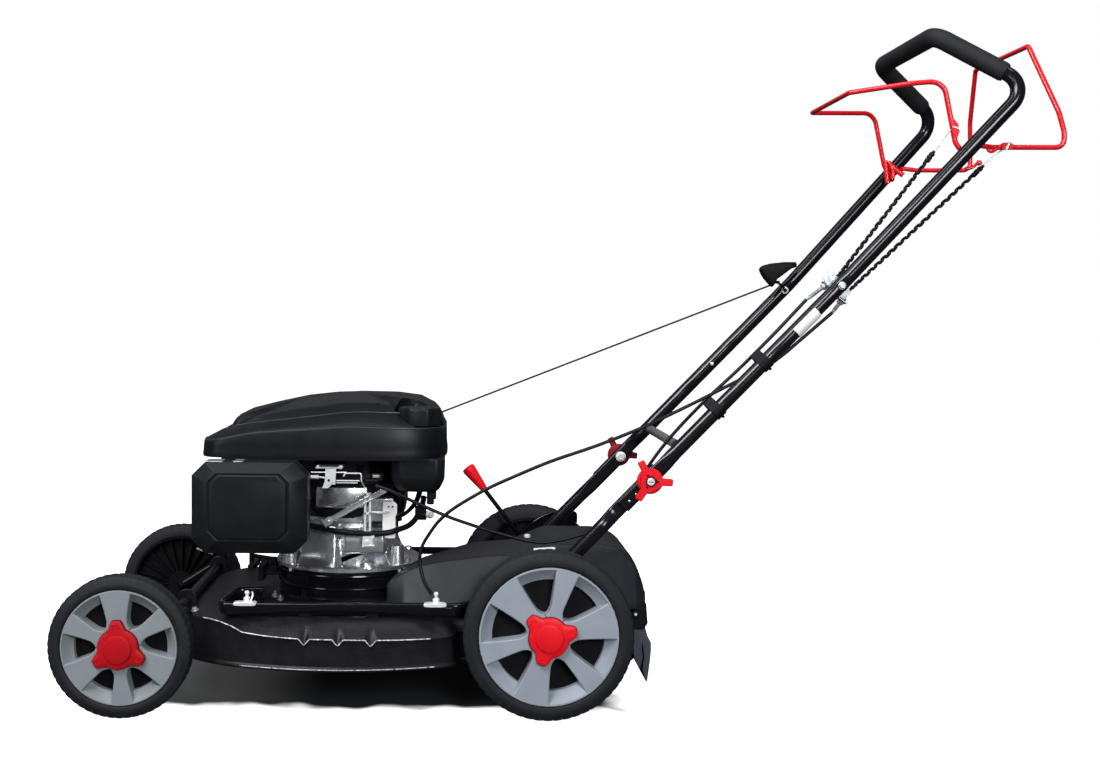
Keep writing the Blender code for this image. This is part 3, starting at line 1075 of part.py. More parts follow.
grip_a, grip_b = Vector((0.4330, EYE.y, 0.7530)), Vector((0.4980, EYE.y, 0.7660))
span = grip_b - grip_a
loops = []
for t, r in ((-0.06, 0.0040), (-0.03, 0.0085), (0.04, 0.0112), (0.35, 0.0100), (0.65, 0.0098), (0.96, 0.0104),
             (1.03, 0.0080), (1.06, 0.0036)):
    loops.append(circle(grip_a + span * t, span, r, 14))
starter_grip = add_object("starter_grip", skin(loops), "plastic", 45)
stem_low, stem_top = EYE + pull * 0.0042, EYE + pull * 0.0300
boolean(starter_grip, rod(stem_low, stem_top, 0.0092, 12, 0.0100), "UNION")
boolean(starter_grip, rod(EYE, EYE + pull * 0.0160, 0.0023, 8))

# bodies: where each moving group turns or slides
def X3(p):
    return (p[0], 0.0, p[1])


body("front_axle", X3(FRONT_PIVOT), None, [front_axle])
body("rear_axle", X3(REAR_PIVOT), None, [rear_axle, height_lever, lever_grip])
body("height_link", (REAR_PIVOT[0], 0.0, REAR_PIVOT[1] + LINK_UP), "rear_axle", [height_link])
for tag, centre, parent in (("front_left", FRONT_AXLE, "front_axle"), ("front_right", FRONT_AXLE, "front_axle"),
                            ("rear_left", REAR_AXLE, "rear_axle"), ("rear_right", REAR_AXLE, "rear_axle")):
    body("wheel_" + tag, X3(centre), parent, WHEELS[tag])
body("upper_handle", (KNOB_X, 0.0, KNOB_Z), None, [upper_handle, handle_grip, cable_bracket, rope_guide,
                                                  brake_cable_sleeve, drive_cable_sleeve, starter_rope])
body("brake_bail", (BRAKE_X, 0.0, BRAKE_Z), "upper_handle", [brake_bail])
body("drive_bail", (DRIVE_X, 0.0, DRIVE_Z), "upper_handle", [drive_bail])
body("starter_grip", EYE, "upper_handle", [starter_grip])
body("fold_knob_left", (KNOB_X, -HANDLE_Y, KNOB_Z), None, [knob_left])
body("fold_knob_right", (KNOB_X, HANDLE_Y, KNOB_Z), None, [knob_right])
body("fuel_cap", (CAP_X, CAP_Y, 0.4744), None, [fuel_cap])
body("dipstick", (DIP_X, DIP_Y, 0.2303), None, [dipstick])
body("crankshaft", (BLADE_X, 0.0, BLADE_Z), None, [crankshaft, flywheel, blade_adapter, blade, blade_bolt])
body("gearbox_pulley", (GEAR_X, 0.0, BELT_Z), None, [gear_pulley])
body("governor_lever", (GOV_X, -0.1310, GOV_Z), None, [governor_lever])
body("rear_flap", (FLAP_X, 0.0, FLAP_Z), None, [rear_flap])
body("side_flap", (-0.445, SIDE_Y, SIDE_Z), None, [side_flap])

bpy.context.view_layer.update()
lows = min((o.matrix_world @ v.co).x for o in PARTS.objects for v in o.data.vertices)
highs = max((o.matrix_world @ v.co).x for o in PARTS.objects for v in o.data.vertices)
ROOT = bpy.data.objects.new("mower_origin", None)
PARTS.objects.link(ROOT)
ROOT.location = (-(lows + highs) / 2, 0.0, 0.0)

EMPTIES = {}
for name, (pivot, parent, objs) in BODIES.items():
    hold = bpy.data.objects.new("axis_" + name, None)
    hold.empty_display_size = 0.03
    PARTS.objects.link(hold)
    above = BODIES[parent][0] if parent else Vector()
    hold.parent = EMPTIES[parent] if parent else ROOT
    hold.location = pivot - above
    EMPTIES[name] = hold
    for obj in objs:
        for each in [obj] + HELPERS.get(obj.name, []):
            each.data.transform(Matrix.Translation(-pivot))
            each.parent = hold
for obj in list(PARTS.objects) + list(CUTS.objects):
    if obj.parent is None and obj is not ROOT:
        obj.parent = ROOT
bpy.context.view_layer.update()
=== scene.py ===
"""Looks of the walk-behind petrol mower: camera, materials and the detailed pieces over the CAD frame.

Pieces are drawn in the CAD source's working frame (X = 0 on the rear wheel axis) and then shifted
onto the row frame by SHIFT. All sizes are in metres.
"""
import json
from math import asin, atan, copysign, cos, degrees, pi, radians, sin, sqrt, tan

import bmesh
import bpy
from mathutils import Matrix, Vector

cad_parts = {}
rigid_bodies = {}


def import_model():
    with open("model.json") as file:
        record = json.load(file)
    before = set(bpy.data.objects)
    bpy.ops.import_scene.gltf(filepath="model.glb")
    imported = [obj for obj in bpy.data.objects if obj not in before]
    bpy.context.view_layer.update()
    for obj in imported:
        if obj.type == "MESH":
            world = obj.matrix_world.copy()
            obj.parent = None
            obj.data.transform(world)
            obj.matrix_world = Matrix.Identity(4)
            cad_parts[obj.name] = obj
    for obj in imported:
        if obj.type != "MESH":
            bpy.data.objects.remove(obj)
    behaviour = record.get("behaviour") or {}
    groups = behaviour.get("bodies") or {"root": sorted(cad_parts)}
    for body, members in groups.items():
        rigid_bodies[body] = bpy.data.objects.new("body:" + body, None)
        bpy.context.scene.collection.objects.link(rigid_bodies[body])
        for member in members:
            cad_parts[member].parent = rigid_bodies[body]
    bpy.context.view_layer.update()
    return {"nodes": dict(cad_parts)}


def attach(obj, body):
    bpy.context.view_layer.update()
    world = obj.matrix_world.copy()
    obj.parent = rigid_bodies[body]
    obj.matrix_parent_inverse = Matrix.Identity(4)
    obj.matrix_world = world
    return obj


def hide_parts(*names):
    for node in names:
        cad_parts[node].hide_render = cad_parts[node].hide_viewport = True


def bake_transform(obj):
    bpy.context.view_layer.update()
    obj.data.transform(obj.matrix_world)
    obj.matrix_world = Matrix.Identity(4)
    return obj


TAU = 2.0 * pi
SHIFT = Vector((-0.024997, 0, 0))
UP, NEAR = Vector((0, 0, 1)), Vector((0, -1, 0))

for old in list(bpy.data.objects):
    bpy.data.objects.remove(old, do_unlink=True)
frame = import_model()


def add_object(name, data):
    obj = bpy.data.objects.new(name, data)
    bpy.context.scene.collection.objects.link(obj)
    return obj


def fill(node, values):
    for name, value in values.items():
        node.inputs[name].default_value = value


# camera at the photograph's viewing angle
CAMERA_AT = Vector((-0.1951, -2.3671, 0.667))
YAW, PITCH, ROLL = 0.0152, 0.051, 0.0112
forward = Vector((sin(YAW) * cos(PITCH), cos(YAW) * cos(PITCH), -sin(PITCH)))
level = Vector((cos(YAW), -sin(YAW), 0))
above = level.cross(forward)
right = cos(ROLL) * level + sin(ROLL) * above
up = -sin(ROLL) * level + cos(ROLL) * above
camera_data = bpy.data.cameras.new("camera")
camera = add_object("camera", camera_data)
turn = Matrix((right, up, -forward)).transposed().to_4x4()
camera.matrix_world = Matrix.Translation(CAMERA_AT) @ turn
camera_data.sensor_width = 36.0
camera_data.lens = 42.78
camera_data.shift_x = 0.0755
camera_data.dof.use_dof = False
bpy.context.scene.camera = camera


# materials: every one has its own grain and roughness from nodes
def material(name, colour, rough, metal=0.0, spec=0.5, coat=0.0, grain=600.0, depth=0.0002, strength=0.25,
        spread=0.12, rough_spread=0.08, mottle=35.0, cells=False):
    mat = bpy.data.materials.new(name)
    mat.use_nodes = True
    nodes, links = mat.node_tree.nodes, mat.node_tree.links
    shader = nodes["Principled BSDF"]
    fill(shader, {"Metallic": metal, "Specular IOR Level": spec, "Coat Weight": coat,
        "Coat Roughness": 0.08})
    place = nodes.new("ShaderNodeTexCoord")
    patch = nodes.new("ShaderNodeTexNoise")
    fill(patch, {"Scale": mottle, "Detail": 4.0})
    links.new(place.outputs["Object"], patch.inputs["Vector"])
    ramp = nodes.new("ShaderNodeValToRGB")
    for stop, position, change in zip(ramp.color_ramp.elements, (0.3, 0.7), (1.0 - spread, 1.0 + spread)):
        stop.position = position
        stop.color = [min(1.0, max(0, c * change)) for c in colour] + [1.0]
    links.new(patch.outputs["Fac"], ramp.inputs["Fac"])
    links.new(ramp.outputs["Color"], shader.inputs["Base Color"])
    span = nodes.new("ShaderNodeMapRange")
    fill(span, {"To Min": max(0.02, rough - rough_spread), "To Max": min(1.0, rough + rough_spread)})
    links.new(patch.outputs["Fac"], span.inputs["Value"])
    links.new(span.outputs["Result"], shader.inputs["Roughness"])
    fine = nodes.new("ShaderNodeTexVoronoi" if cells else "ShaderNodeTexNoise")
    fill(fine, {"Scale": grain})
    links.new(place.outputs["Object"], fine.inputs["Vector"])
    bump = nodes.new("ShaderNodeBump")
    fill(bump, {"Strength": strength, "Distance": depth})
    links.new(fine.outputs["Distance" if cells else "Fac"], bump.inputs["Height"])
    links.new(bump.outputs["Normal"], shader.inputs["Normal"])
    return mat


LOOK, SLOT = {}, {}


def look(key, slot, name, colour, rough, **more):
    LOOK[key], SLOT[key] = material(name, colour, rough, **more), slot


look("tube", "gloss_black_paint", "tube_paint", (0.0045, 0.0045, 0.0075), 0.18, spec=0.34, grain=60,
    depth=0.00002, strength=0.02, rough_spread=0.02)
look("rail", "gloss_black_paint", "rail_paint", (0.0042, 0.0042, 0.0058), 0.14, spec=0.32, grain=90,
    depth=0.00005, strength=0.06, rough_spread=0.04)
look("deck", "gloss_black_paint", "hammered_paint", (0.0086, 0.0078, 0.0102), 0.36, spec=0.16, grain=230,
    depth=0.001, strength=0.55, spread=0.3)
look("hood", "black_plastic", "hood_plastic", (0.005, 0.006, 0.0085), 0.38, spec=0.17, grain=1400,
    strength=0.3)
look("box", "black_plastic", "filter_plastic", (0.007, 0.0082, 0.01), 0.42, spec=0.17, grain=1600,
    strength=0.35)
look("cover", "black_plastic", "cover_plastic", (0.0115, 0.0138, 0.0195), 0.5, spec=0.26, grain=1200,
    depth=0.0003, strength=0.45)
look("flap", "black_plastic", "flap_rubber", (0.056, 0.06, 0.082), 0.6, spec=0.3, grain=900, depth=0.0003,
    strength=0.35)
look("dark", "black_plastic", "dark_plastic", (0.0036, 0.0036, 0.0048), 0.55, spec=0.13, grain=900,
    strength=0.3)
look("tyre", "tyre", "tyre_rubber", (0.009, 0.0105, 0.0145), 0.66, spec=0.25, grain=1100, depth=0.0003,
    strength=0.4, spread=0.2)
# the near front wheel's rim is a darker copy of the rim colour: painted shade
for key, name, colour in (("painted_shade_rim", "painted_shade_front_rim_plastic", (0.205, 0.232, 0.252)),
        ("rim", "rim_plastic", (0.255, 0.29, 0.335))):
    look(key, "grey_plastic", name, colour, 0.48, spec=0.35, grain=1500, strength=0.3, spread=0.05)
# darker copies of the red plastic are painted shade on the right knob and the near front wheel's cap; a
# brighter copy is painted light on the lever grip
for key, name, colour, spread in (("red", "red_plastic", (0.68, 0.006, 0.013), 0.06),
        ("painted_shade_red", "painted_shade_red_plastic", (0.2, 0.003, 0.008), 0.06), ("painted_shade_cap_red", "painted_shade_front_cap_plastic",
        (0.4, 0.004, 0.0085), 0.06), ("painted_light_red", "painted_light_lever_grip_plastic", (0.98, 0.009, 0.02), 0.02)):
    look(key, "red_plastic", name, colour, 0.42, spec=0.2, grain=1300, spread=spread)
look("wire", "red_paint", "red_paint", (0.66, 0.005, 0.014), 0.26, spec=0.35, coat=0.2, grain=120,
    depth=0.00005, strength=0.03, spread=0.05)
look("foam", "grip_foam", "grip_foam", (0.0085, 0.0095, 0.0125), 0.7, spec=0.3, grain=900, depth=0.0004,
    strength=0.5, spread=0.25, cells=True)
look("cast", "cast_metal", "cast_aluminium", (0.74, 0.76, 0.78), 0.26, metal=0.94, grain=160, depth=0.0003,
    strength=0.1, spread=0.14, rough_spread=0.12, mottle=30)
look("zinc", "zinc_plate", "zinc_plate", (0.9, 0.91, 0.93), 0.3, metal=0.45, grain=500, depth=0.0001,
    strength=0.1, spread=0.06, mottle=90)
look("steel", "bare_steel", "bare_steel", (0.5, 0.51, 0.54), 0.36, metal=0.85, grain=350, strength=0.15,
    spread=0.15)
look("cable", "black_plastic", "cable_cover", (0.005, 0.0055, 0.009), 0.34, spec=0.16, grain=300,
    depth=0.00005, strength=0.05)
look("plate", "zinc_plate", "bare_plate", (0.9, 0.9, 0.9), 0.45, grain=800, depth=0.0001, strength=0.1,
    spread=0.04)
look("grey_metal", "zinc_plate", "dull_zinc", (0.42, 0.45, 0.48), 0.32, metal=0.55, grain=300, depth=0.0001,
    strength=0.1, spread=0.35, mottle=140)
# the next three are painted highlights: speckled lines on the deck's crease and bead, a light line along the
# rail and light lines along the hood's ridges
look("painted_glint", "gloss_black_paint", "painted_deck_glints", (0.38, 0.41, 0.45), 0.3, spec=0.6, grain=500,
    depth=0.0003, strength=0.4, spread=0.97, mottle=190)
look("painted_gleam", "gloss_black_paint", "painted_rail_gleam", (0.34, 0.34, 0.27), 0.3, grain=300, depth=0.0001,
    strength=0.2, spread=0.3, mottle=60)
look("edge", "black_plastic", "painted_ridge_highlight", (0.03, 0.034, 0.042), 0.34, spec=0.4, grain=900, depth=0.0001,
    strength=0.2)


# mesh helpers: skin joins rings of points into a surface, and most of the shapes are made with it
def mesh_from(name, bm):
    """Turns a bmesh drawn in the working frame into a mesh of the row frame."""
    bmesh.ops.recalc_face_normals(bm, faces=bm.faces)
    bmesh.ops.translate(bm, vec=SHIFT, verts=bm.verts)
    mesh = bpy.data.meshes.new(name)
    bm.to_mesh(mesh)
    bm.free()
    return mesh


def piece(name, bm, look, node=None, body="chassis", angle=35.0, bevel=0.0):
    """Shown piece on a CAD body, or fixed in place when body is a tuple; it may stand in for a CAD node."""
    if isinstance(bm, list):
        bm = join(*bm)
    bmesh.ops.remove_doubles(bm, verts=bm.verts, dist=1e-6)
    mesh = mesh_from(name, bm)
    obj = add_object(name, mesh)
    mesh.materials.append(LOOK[look])
    mesh.shade_smooth()
    mesh.set_sharp_from_angle(angle=radians(angle))
    if bevel:
        mod = obj.modifiers.new("edges", "BEVEL")
        mod.width = bevel
        mod.segments = 2
        mod.limit_method = "ANGLE"
        mod.angle_limit = radians(30)
    if isinstance(body, tuple):
        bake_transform(obj)
    else:
        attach(obj, body)
    if node:
        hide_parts(node)
    return obj


def skin(loops, closed=False, start=True, end=True, flat=False):
    bm = bmesh.new()
    rings = [[bm.verts.new(p) for p in loop] for loop in loops]
    count = len(rings[0])
    pairs = list(zip(rings, rings[1:]))
    if closed:
        pairs.append((rings[-1], rings[0]))
    for a, b in pairs:
        for i in range(count):
            j = (i + 1) % count
            bm.faces.new((a[i], a[j], b[j], b[i]))
    if not closed:
        for ring, wanted in ((rings[0], start), (rings[-1], end)):
            if not wanted:
                continue
            if flat:
                bm.faces.new(ring)
                continue
            hub = bm.verts.new(sum((v.co for v in ring), Vector()) / count)
            for i in range(count):
                bm.faces.new((ring[i], ring[(i + 1) % count], hub))
    return bm


def join(first, *others):
    for other in others:
        mesh = bpy.data.meshes.new("join")
        other.to_mesh(mesh)
        other.free()
        first.from_mesh(mesh)
        bpy.data.meshes.remove(mesh)
    return first


def block(x0, x1, y0, y1, z0, z1):
    return prism([(x0, z0), (x1, z0), (x1, z1), (x0, z1)], y0, y1)


def frame_at(axis):
    axis = Vector(axis).normalized()
    side = UP.cross(axis)
    if side.length < 1e-4:
        side = Vector((1, 0, 0))
    side.normalize()
    return side, axis.cross(side)


def circle(centre, axis, radius, sides):
    u, v = frame_at(axis)
    c = Vector(centre)
    return [c + radius * (cos(TAU * k / sides) * u + sin(TAU * k / sides) * v) for k in range(sides)]


def rod(a, b, radius, sides=20):
    axis = Vector(b) - Vector(a)
    return skin([circle(a, axis, radius, sides), circle(b, axis, radius, sides)])


def revolve(centre, axis, profile, sides=48, closed=False, ends=True):
    """Turned shape from (radius, height along the axis) pairs."""
    ax = Vector(axis).normalized()
    rings = [circle(Vector(centre) + ax * h, ax, r, sides) for r, h in profile]
    return skin(rings, closed=closed, start=ends, end=ends)


def prism(points, y0, y1):
    return skin([[(x, y, z) for x, z in points] for y in (y0, y1)], flat=True)


def slab(points, z0, z1):
    return skin([[(x, y, z) for x, y in points] for z in (z0, z1)], flat=True)


def fillet(points, radii, steps=8):
    pts = [Vector(p) for p in points]
    out = [pts[0]]
    for k in range(1, len(pts) - 1):
        r = radii[k - 1] if isinstance(radii, (list, tuple)) else radii
        a, b = (pts[k - 1] - pts[k]).normalized(), (pts[k + 1] - pts[k]).normalized()
        half = a.angle(b) / 2.0
        reach = r / tan(half)
        mid = pts[k] + (a + b).normalized() * (r / sin(half))
        s, e = pts[k] + a * reach - mid, pts[k] + b * reach - mid
        swing = s.angle(e)
        for n in range(steps + 1):
            t = n / steps
            out.append(mid + (s * sin((1 - t) * swing) + e * sin(t * swing)) / sin(swing))
    out.append(pts[-1])
    return out


def between(p0, p1, p2, p3, t):
    """Point at share t of the smooth curve from p1 to p2."""
    return 0.5 * (2 * p1 + (p2 - p0) * t + (2 * p0 - 5 * p1 + 4 * p2 - p3) * t * t
        + (3 * p1 - p0 - 3 * p2 + p3) * t ** 3)


def smooth(points, per=6):
    pts = [Vector(p) for p in points]
    ext = [2 * pts[0] - pts[1]] + pts + [2 * pts[-1] - pts[-2]]
    out = [between(*ext[k - 1:k + 3], n / per) for k in range(1, len(ext) - 2) for n in range(per)]
    out.append(pts[-1])
    return out


def sweep(path, size, sides=20, upward=(0, 1, 0)):
    """Tube along a path; size is a radius, or gives both half widths and a flatness at each point."""
    loops = []
    v = Vector(upward)
    for k, p in enumerate(path):
        t = (path[min(k + 1, len(path) - 1)] - path[max(k - 1, 0)]).normalized()
        v = (v - t * v.dot(t)).normalized()
        u = t.cross(v)
        sizes = size(k) if callable(size) else (size, size)
        a, b = sizes[:2]
        flat = sizes[2] if len(sizes) > 2 else 1.0
        loop = []
        for n in range(sides):
            c, s = cos(TAU * (n + 0.5) / sides), sin(TAU * (n + 0.5) / sides)
            loop.append(p + u * (copysign(abs(c) ** flat, c) * a) + v * (copysign(abs(s) ** flat, s) * b))
        loops.append(loop)
    return skin(loops)


def table_curve(points):
    """Straight-line reading of a list of (x, value) pairs."""
    def read(x):
        if x <= points[0][0]:
            return points[0][1]
        for (x0, v0), (x1, v1) in zip(points, points[1:]):
            if x <= x1:
                return v0 + (v1 - v0) * (x - x0) / (x1 - x0)
        return points[-1][1]
    return read


def mirrored(path):
    """Path from its mirror image on the left to itself on the right."""
    return [Vector((p.x, -p.y, p.z)) for p in path] + list(reversed(path))


def ease(a, b, x):
    t = min(1.0, max(0, (x - a) / (b - a)))
    return t * t * (3 - 2 * t)


def hex_bolt(at, axis, size, height, washer=0.0):
    """Hexagon head on an optional washer, standing on a surface point."""
    at, axis = Vector(at), Vector(axis).normalized()
    parts = []
    base = at
    if washer:
        parts.append(revolve(at, axis, [(washer, 0), (washer, 0.001), (size * 0.6, 0.0012)], 24))
        base = at + axis * 0.001
    parts.append(revolve(base, axis, [(size, 0), (size, height * 0.85), (size * 0.86, height)], 6))
    return join(*parts)


# wheels
WHEEL_BASE, FRONT_R, REAR_R = 0.697, 0.117, 0.14
WHEEL_Y, WHEEL_W = 0.2517, 0.0406
HALF = WHEEL_W / 2


def wheel(tag, centre, side, radius, rim_r, w_out, n_out, open_at, phase):
    """One wheel; w_out and n_out are half widths of the wide and narrow spokes at the rim."""
    cx, cz = centre
    body = "wheel_" + tag
    phase = radians(phase)

    def at(r, u, ang):
        return Vector((cx + r * cos(ang), side * (WHEEL_Y + u), cz + r * sin(ang)))

    # tyre: flat side walls, a stepped shoulder, and short cross grooves round the tread
    count = 216
    blocks = 54
    loops = []
    section = [(rim_r + 0.0004, -HALF + 0.001, 0), (rim_r + 0.002, -HALF, 0), (radius - 0.012, -HALF, 0),
        (radius - 0.0105, -HALF + 0.0008, 0), (radius - 0.004, -HALF + 0.0022, 0),
        (radius - 0.0012, -HALF + 0.0045, 1), (radius, -HALF + 0.0085, 1), (radius, -0.0015, 1),
        (radius - 0.0014, -0.001, 0), (radius - 0.0014, 0.001, 0), (radius, 0.0015, 1),
        (radius, HALF - 0.0085, 1), (radius - 0.0012, HALF - 0.0045, 1), (radius - 0.004, HALF - 0.0022, 0),
        (radius - 0.0105, HALF - 0.0008, 0), (radius - 0.012, HALF, 0), (rim_r + 0.007, HALF + 0.0002, 0),
        (rim_r + 0.0035, HALF - 0.0006, 0), (rim_r + 0.0018, HALF - 0.0022, 0),
        (rim_r + 0.0004, HALF - 0.0035, 0)]
    for r, u, groove in section:
        ring = []
        for k in range(count):
            cut = 0.0009 * groove if k % (count // blocks) == 0 else 0.0
            ring.append(at(r - cut, u, TAU * k / count))
        loops.append(ring)
    piece("tyre_look_" + tag, skin(loops, closed=True), "tyre", "tyre_" + tag, body, angle=30)

    # rim: six flared spokes level with the lip, the ones behind the cap's lobes wider than the others,
    # a sloping band between them and windows that open to the inner side, which is painted dark as shade
    hub_r, win_r, lip_r = 0.0372, rim_r * open_at, rim_r * 0.968
    face, band_low, deep = HALF - 0.0008, HALF - 0.0165, HALF - 0.0258
    root = 0.012
    rows = [(0.0085, None), (0.02, None), (hub_r - 0.003, None)]
    rows += [(hub_r + root * (i / 7) ** 1.6, deep) for i in range(8)]
    rows += [(hub_r + root + (win_r - 0.0006 - hub_r - root) * i / 8, deep) for i in range(1, 9)]
    rows += [(win_r + (lip_r - win_r) * i / 6, band_low + (face - 0.001 - band_low) * (i / 6) ** 1.25)
        for i in range(7)]
    rows += [(lip_r + 0.0006, face), (rim_r - 0.0008, face), (rim_r, face - 0.0008), (rim_r, face - 0.006)]
    loops = []
    for r, low in rows:
        mid_r = min(max(r, hub_r), lip_r)
        t = (mid_r - hub_r) / (lip_r - hub_r)
        top = face if r < lip_r + 0.001 else low
        floor = face if low is None else low
        ring = []
        edge, round_off = 0.0008 / mid_r, 0.0014 / mid_r
        for k in range(6):
            base = phase + k * TAU / 6
            spokes = [(0.015, w_out), (0.0092, n_out)]
            a, other = [asin(min(0.99, (h0 + (h1 - h0) * t ** 1.35) / mid_r))
                for h0, h1 in (spokes if k % 2 == 0 else reversed(spokes))]
            # the free arc up to the next spoke, closed near the hub in a round corner
            gap = TAU / 6 - a - other - 2 * edge
            shut = 0.0
            if low is None:
                shut = 1.0
            elif r < hub_r + root:
                q = (hub_r + root - r) / root
                shut = 1 - sqrt(max(0, 1 - q * q))
            right = a + gap * 0.497 * shut
            left_gap = gap * (1 - 0.994 * shut)
            for da, h in ((-right - edge, floor), (-right, top - 0.001), (-right + round_off, top),
                    (-right / 2, top), (0, top), (right / 2, top), (right - round_off, top),
                    (right, top - 0.001), (right + edge, floor)):
                ring.append(at(r, max(h, floor), base + da))
            for q in range(1, 6):
                ring.append(at(r, floor, base + right + edge + left_gap * q / 6))
        loops.append(ring)
    rim = skin(loops, start=False, end=False)
    for f in [f for f in rim.faces if all(abs(abs(v.co.y) - WHEEL_Y - deep) < 1e-5 for v in f.verts)]:
        rim.faces.remove(f)
    inner, outward = (cx, side * (WHEEL_Y - HALF), cz), (0, side, 0)
    for profile in ([(rim_r, WHEEL_W - 0.0068), (rim_r, WHEEL_W - 0.03)],
            [(win_r + 0.0003, WHEEL_W - 0.0215), (win_r, band_low + HALF)]):
        rim = join(rim, revolve(inner, outward, profile, 120, ends=False))
    # the near front wheel's rim takes the darker copy: painted shade
    piece("rim_look_" + tag, rim, "painted_shade_rim" if tag == "front_left" else "rim", "rim_" + tag, body,
        angle=28)

    # inner side with radial ribs, painted dark as the shade behind the rim's windows
    ribs = [revolve(inner, outward, [(0.0086, -0.002), (0.025, -0.002), (0.026, 0.01),
        (rim_r - 0.01, 0.012), (rim_r - 0.003, 0.006), (rim_r - 0.003, -0.0004), (rim_r + 0.0004, -0.0004),
        (rim_r + 0.0002, 0.014), (0.0086, 0.014)], 96)]
    for k in range(24):
        ang = TAU * k / 24
        out, across = Vector((cos(ang), 0, sin(ang))), Vector((-sin(ang), 0, cos(ang)))
        mid = Vector((cx, 0, cz))
        loops = []
        for r, u in ((0.025, -HALF), (rim_r - 0.005, -HALF + 0.004)):
            q = mid + out * r
            loops.append([q + across * s + Vector((0, side * (WHEEL_Y + w), 0)) for s, w in ((-0.0009, u),
                (0.0009, u), (0.0009, -HALF + 0.0125), (-0.0009, -HALF + 0.0125))])
        ribs.append(skin(loops))
    piece("wheel_inner_shade_" + tag, ribs, "dark", body=body)

    # red cap: three lobes, a stepped middle and a raised U on each lobe
    cap_reach = table_curve([(0, 0.0458), (8.0, 0.046), (10.0, 0.0448), (13.0, 0.0425), (16.0, 0.0396),
        (19.0, 0.0372), (22.0, 0.035), (25.0, 0.0334), (28.0, 0.0328), (33.0, 0.0328), (45.0, 0.0331),
        (60.0, 0.0333)])

    def outline(scale, u, lobes, grow=0.0):
        ring = []
        for k in range(144):
            ang = TAU * k / 144
            off = degrees(abs((ang + TAU / 6) % (TAU / 3) - TAU / 6))
            r = 0.0316 + (cap_reach(off) - 0.0316) * lobes
            ring.append(at(r * scale + grow, u, phase + ang))
        return ring

    lift = HALF + 0.0002
    steps = [outline(1.0, lift - 0.001, 1), outline(1.0, lift + 0.0052, 1),
        outline(1.0, lift + 0.0068, 1, -0.0012), outline(1.0, lift + 0.0074, 1, -0.003),
        outline(0.8, lift + 0.008, 0.1), outline(0.7, lift + 0.0084, 0)]
    for r, rise in ((0.0232, 0.0086), (0.0222, 0.0108), (0.0205, 0.0114)):
        steps.append([at(r, lift + rise, phase + TAU * k / 144) for k in range(144)])
    cap = skin(steps)
    for k in range(3):
        ang = phase + k * TAU / 3
        u_path = [at(r, lift + 0.0076, ang + da / r) for r, da in ((0.0345, -0.005), (0.04, -0.0046),
            (0.0412, -0.0036), (0.0412, 0.0036), (0.04, 0.0046), (0.0345, 0.005))]
        cap = join(cap, sweep(u_path, 0.0008, 8))
    # the near front wheel's cap takes the darker red: painted shade
    piece("hub_cap_look_" + tag, cap, "painted_shade_cap_red" if tag == "front_left" else "red", "hub_cap_" + tag, body,
        angle=30)
    # a dark ring just outside the cap's outline: painted shade along the cap's side
    piece("cap_shade_ring_" + tag, skin([outline(1.0, HALF - 0.0012, 1, 0.0011),
        outline(1.0, HALF + 0.0004, 1, 0.0011), outline(0.9, HALF + 0.0004, 1, 0)]), "dark", body=body)


for end, centre, radius, sizes, turns in (("front_", (-WHEEL_BASE, FRONT_R), FRONT_R,
        (0.0944, 0.0252, 0.0182, 0.806), (93.8, 70)),
        ("rear_", (0, REAR_R), REAR_R, (0.1141, 0.0302, 0.019, 0.812), (14.7, 40))):
    for hand, side, phase in (("left", -1, turns[0]), ("right", 1, turns[1])):
        wheel(end + hand, centre, side, radius, *sizes, phase)


# handle tubes: round, pressed flat where they are bolted together
BLADE_X, HANDLE = -0.345, "upper_handle"
KNOB_X, KNOB_Z, HANDLE_Y, TUBE_R = 0.1705, 0.3882, 0.1826, 0.012
SLOPE = atan(1.0434)
ALONG = Vector((cos(SLOPE), 0, sin(SLOPE)))
ACROSS = Vector((-ALONG.z, 0, ALONG.x))
FOOT_X = -0.012
FLAT_T, PRESS = 0.0058, 0.0061


def around_blade(r, degrees, z):
    """Point at a radius and an angle from the engine's shaft."""
    a = radians(degrees)
    return Vector((BLADE_X + r * cos(a), r * sin(a), z))


def handle_at(s, y):
    return Vector((KNOB_X, y, KNOB_Z)) + ALONG * s


def station(x):
    """Length along the tubes at which they reach x."""
    return (x - KNOB_X) / cos(SLOPE)


def flat_mix(t):
    return (TUBE_R + 0.0006 * t, TUBE_R + (FLAT_T - TUBE_R) * t, 1.0 - 0.3 * t)


def along_y(profile, s, lift):
    """Points and flatness along a tube from (station, flatness) pairs."""
    read = table_curve(profile)
    stations, k = [], profile[0][0]
    while k < profile[-1][0] - 1e-6:
        stations.append(k)
        k += 0.004
    stations.append(profile[-1][0])
    mixes = [ease(0, 1, read(k)) for k in stations]
    return [handle_at(k, s * (HANDLE_Y + lift * m)) for k, m in zip(stations, mixes)], mixes


foot_s = station(FOOT_X)
for tag, s in (("left", -1), ("right", 1)):
    path, mixes = along_y([(foot_s - 0.02, 0), (-0.112, 0), (-0.076, 1), (0.024, 1)], s, -PRESS)
    piece("lower_tube_" + tag, sweep(path, lambda k: flat_mix(mixes[k]), 36), "tube", "lower_handle_" + tag,
        angle=30)
    foot = handle_at(foot_s, 0)
    piece("foot_bolt_" + tag, [rod((foot.x, s * 0.1662, foot.z), (foot.x, s * 0.1708, foot.z), 0.0065),
        hex_bolt((foot.x, s * (0.1946 if s < 0 else 0.19), foot.z), (0, s, 0), 0.0068, 0.0048, 0.0085)],
        "zinc")
    inner = HANDLE_Y - PRESS - FLAT_T
    piece("fold_bolt_" + tag, [hex_bolt((KNOB_X, s * (inner - 0.0002), KNOB_Z), (0, -s, 0), 0.0078, 0.005,
        0.0098), rod((KNOB_X, s * 0.1762, KNOB_Z), (KNOB_X, s * 0.209, KNOB_Z), 0.004)], "zinc")

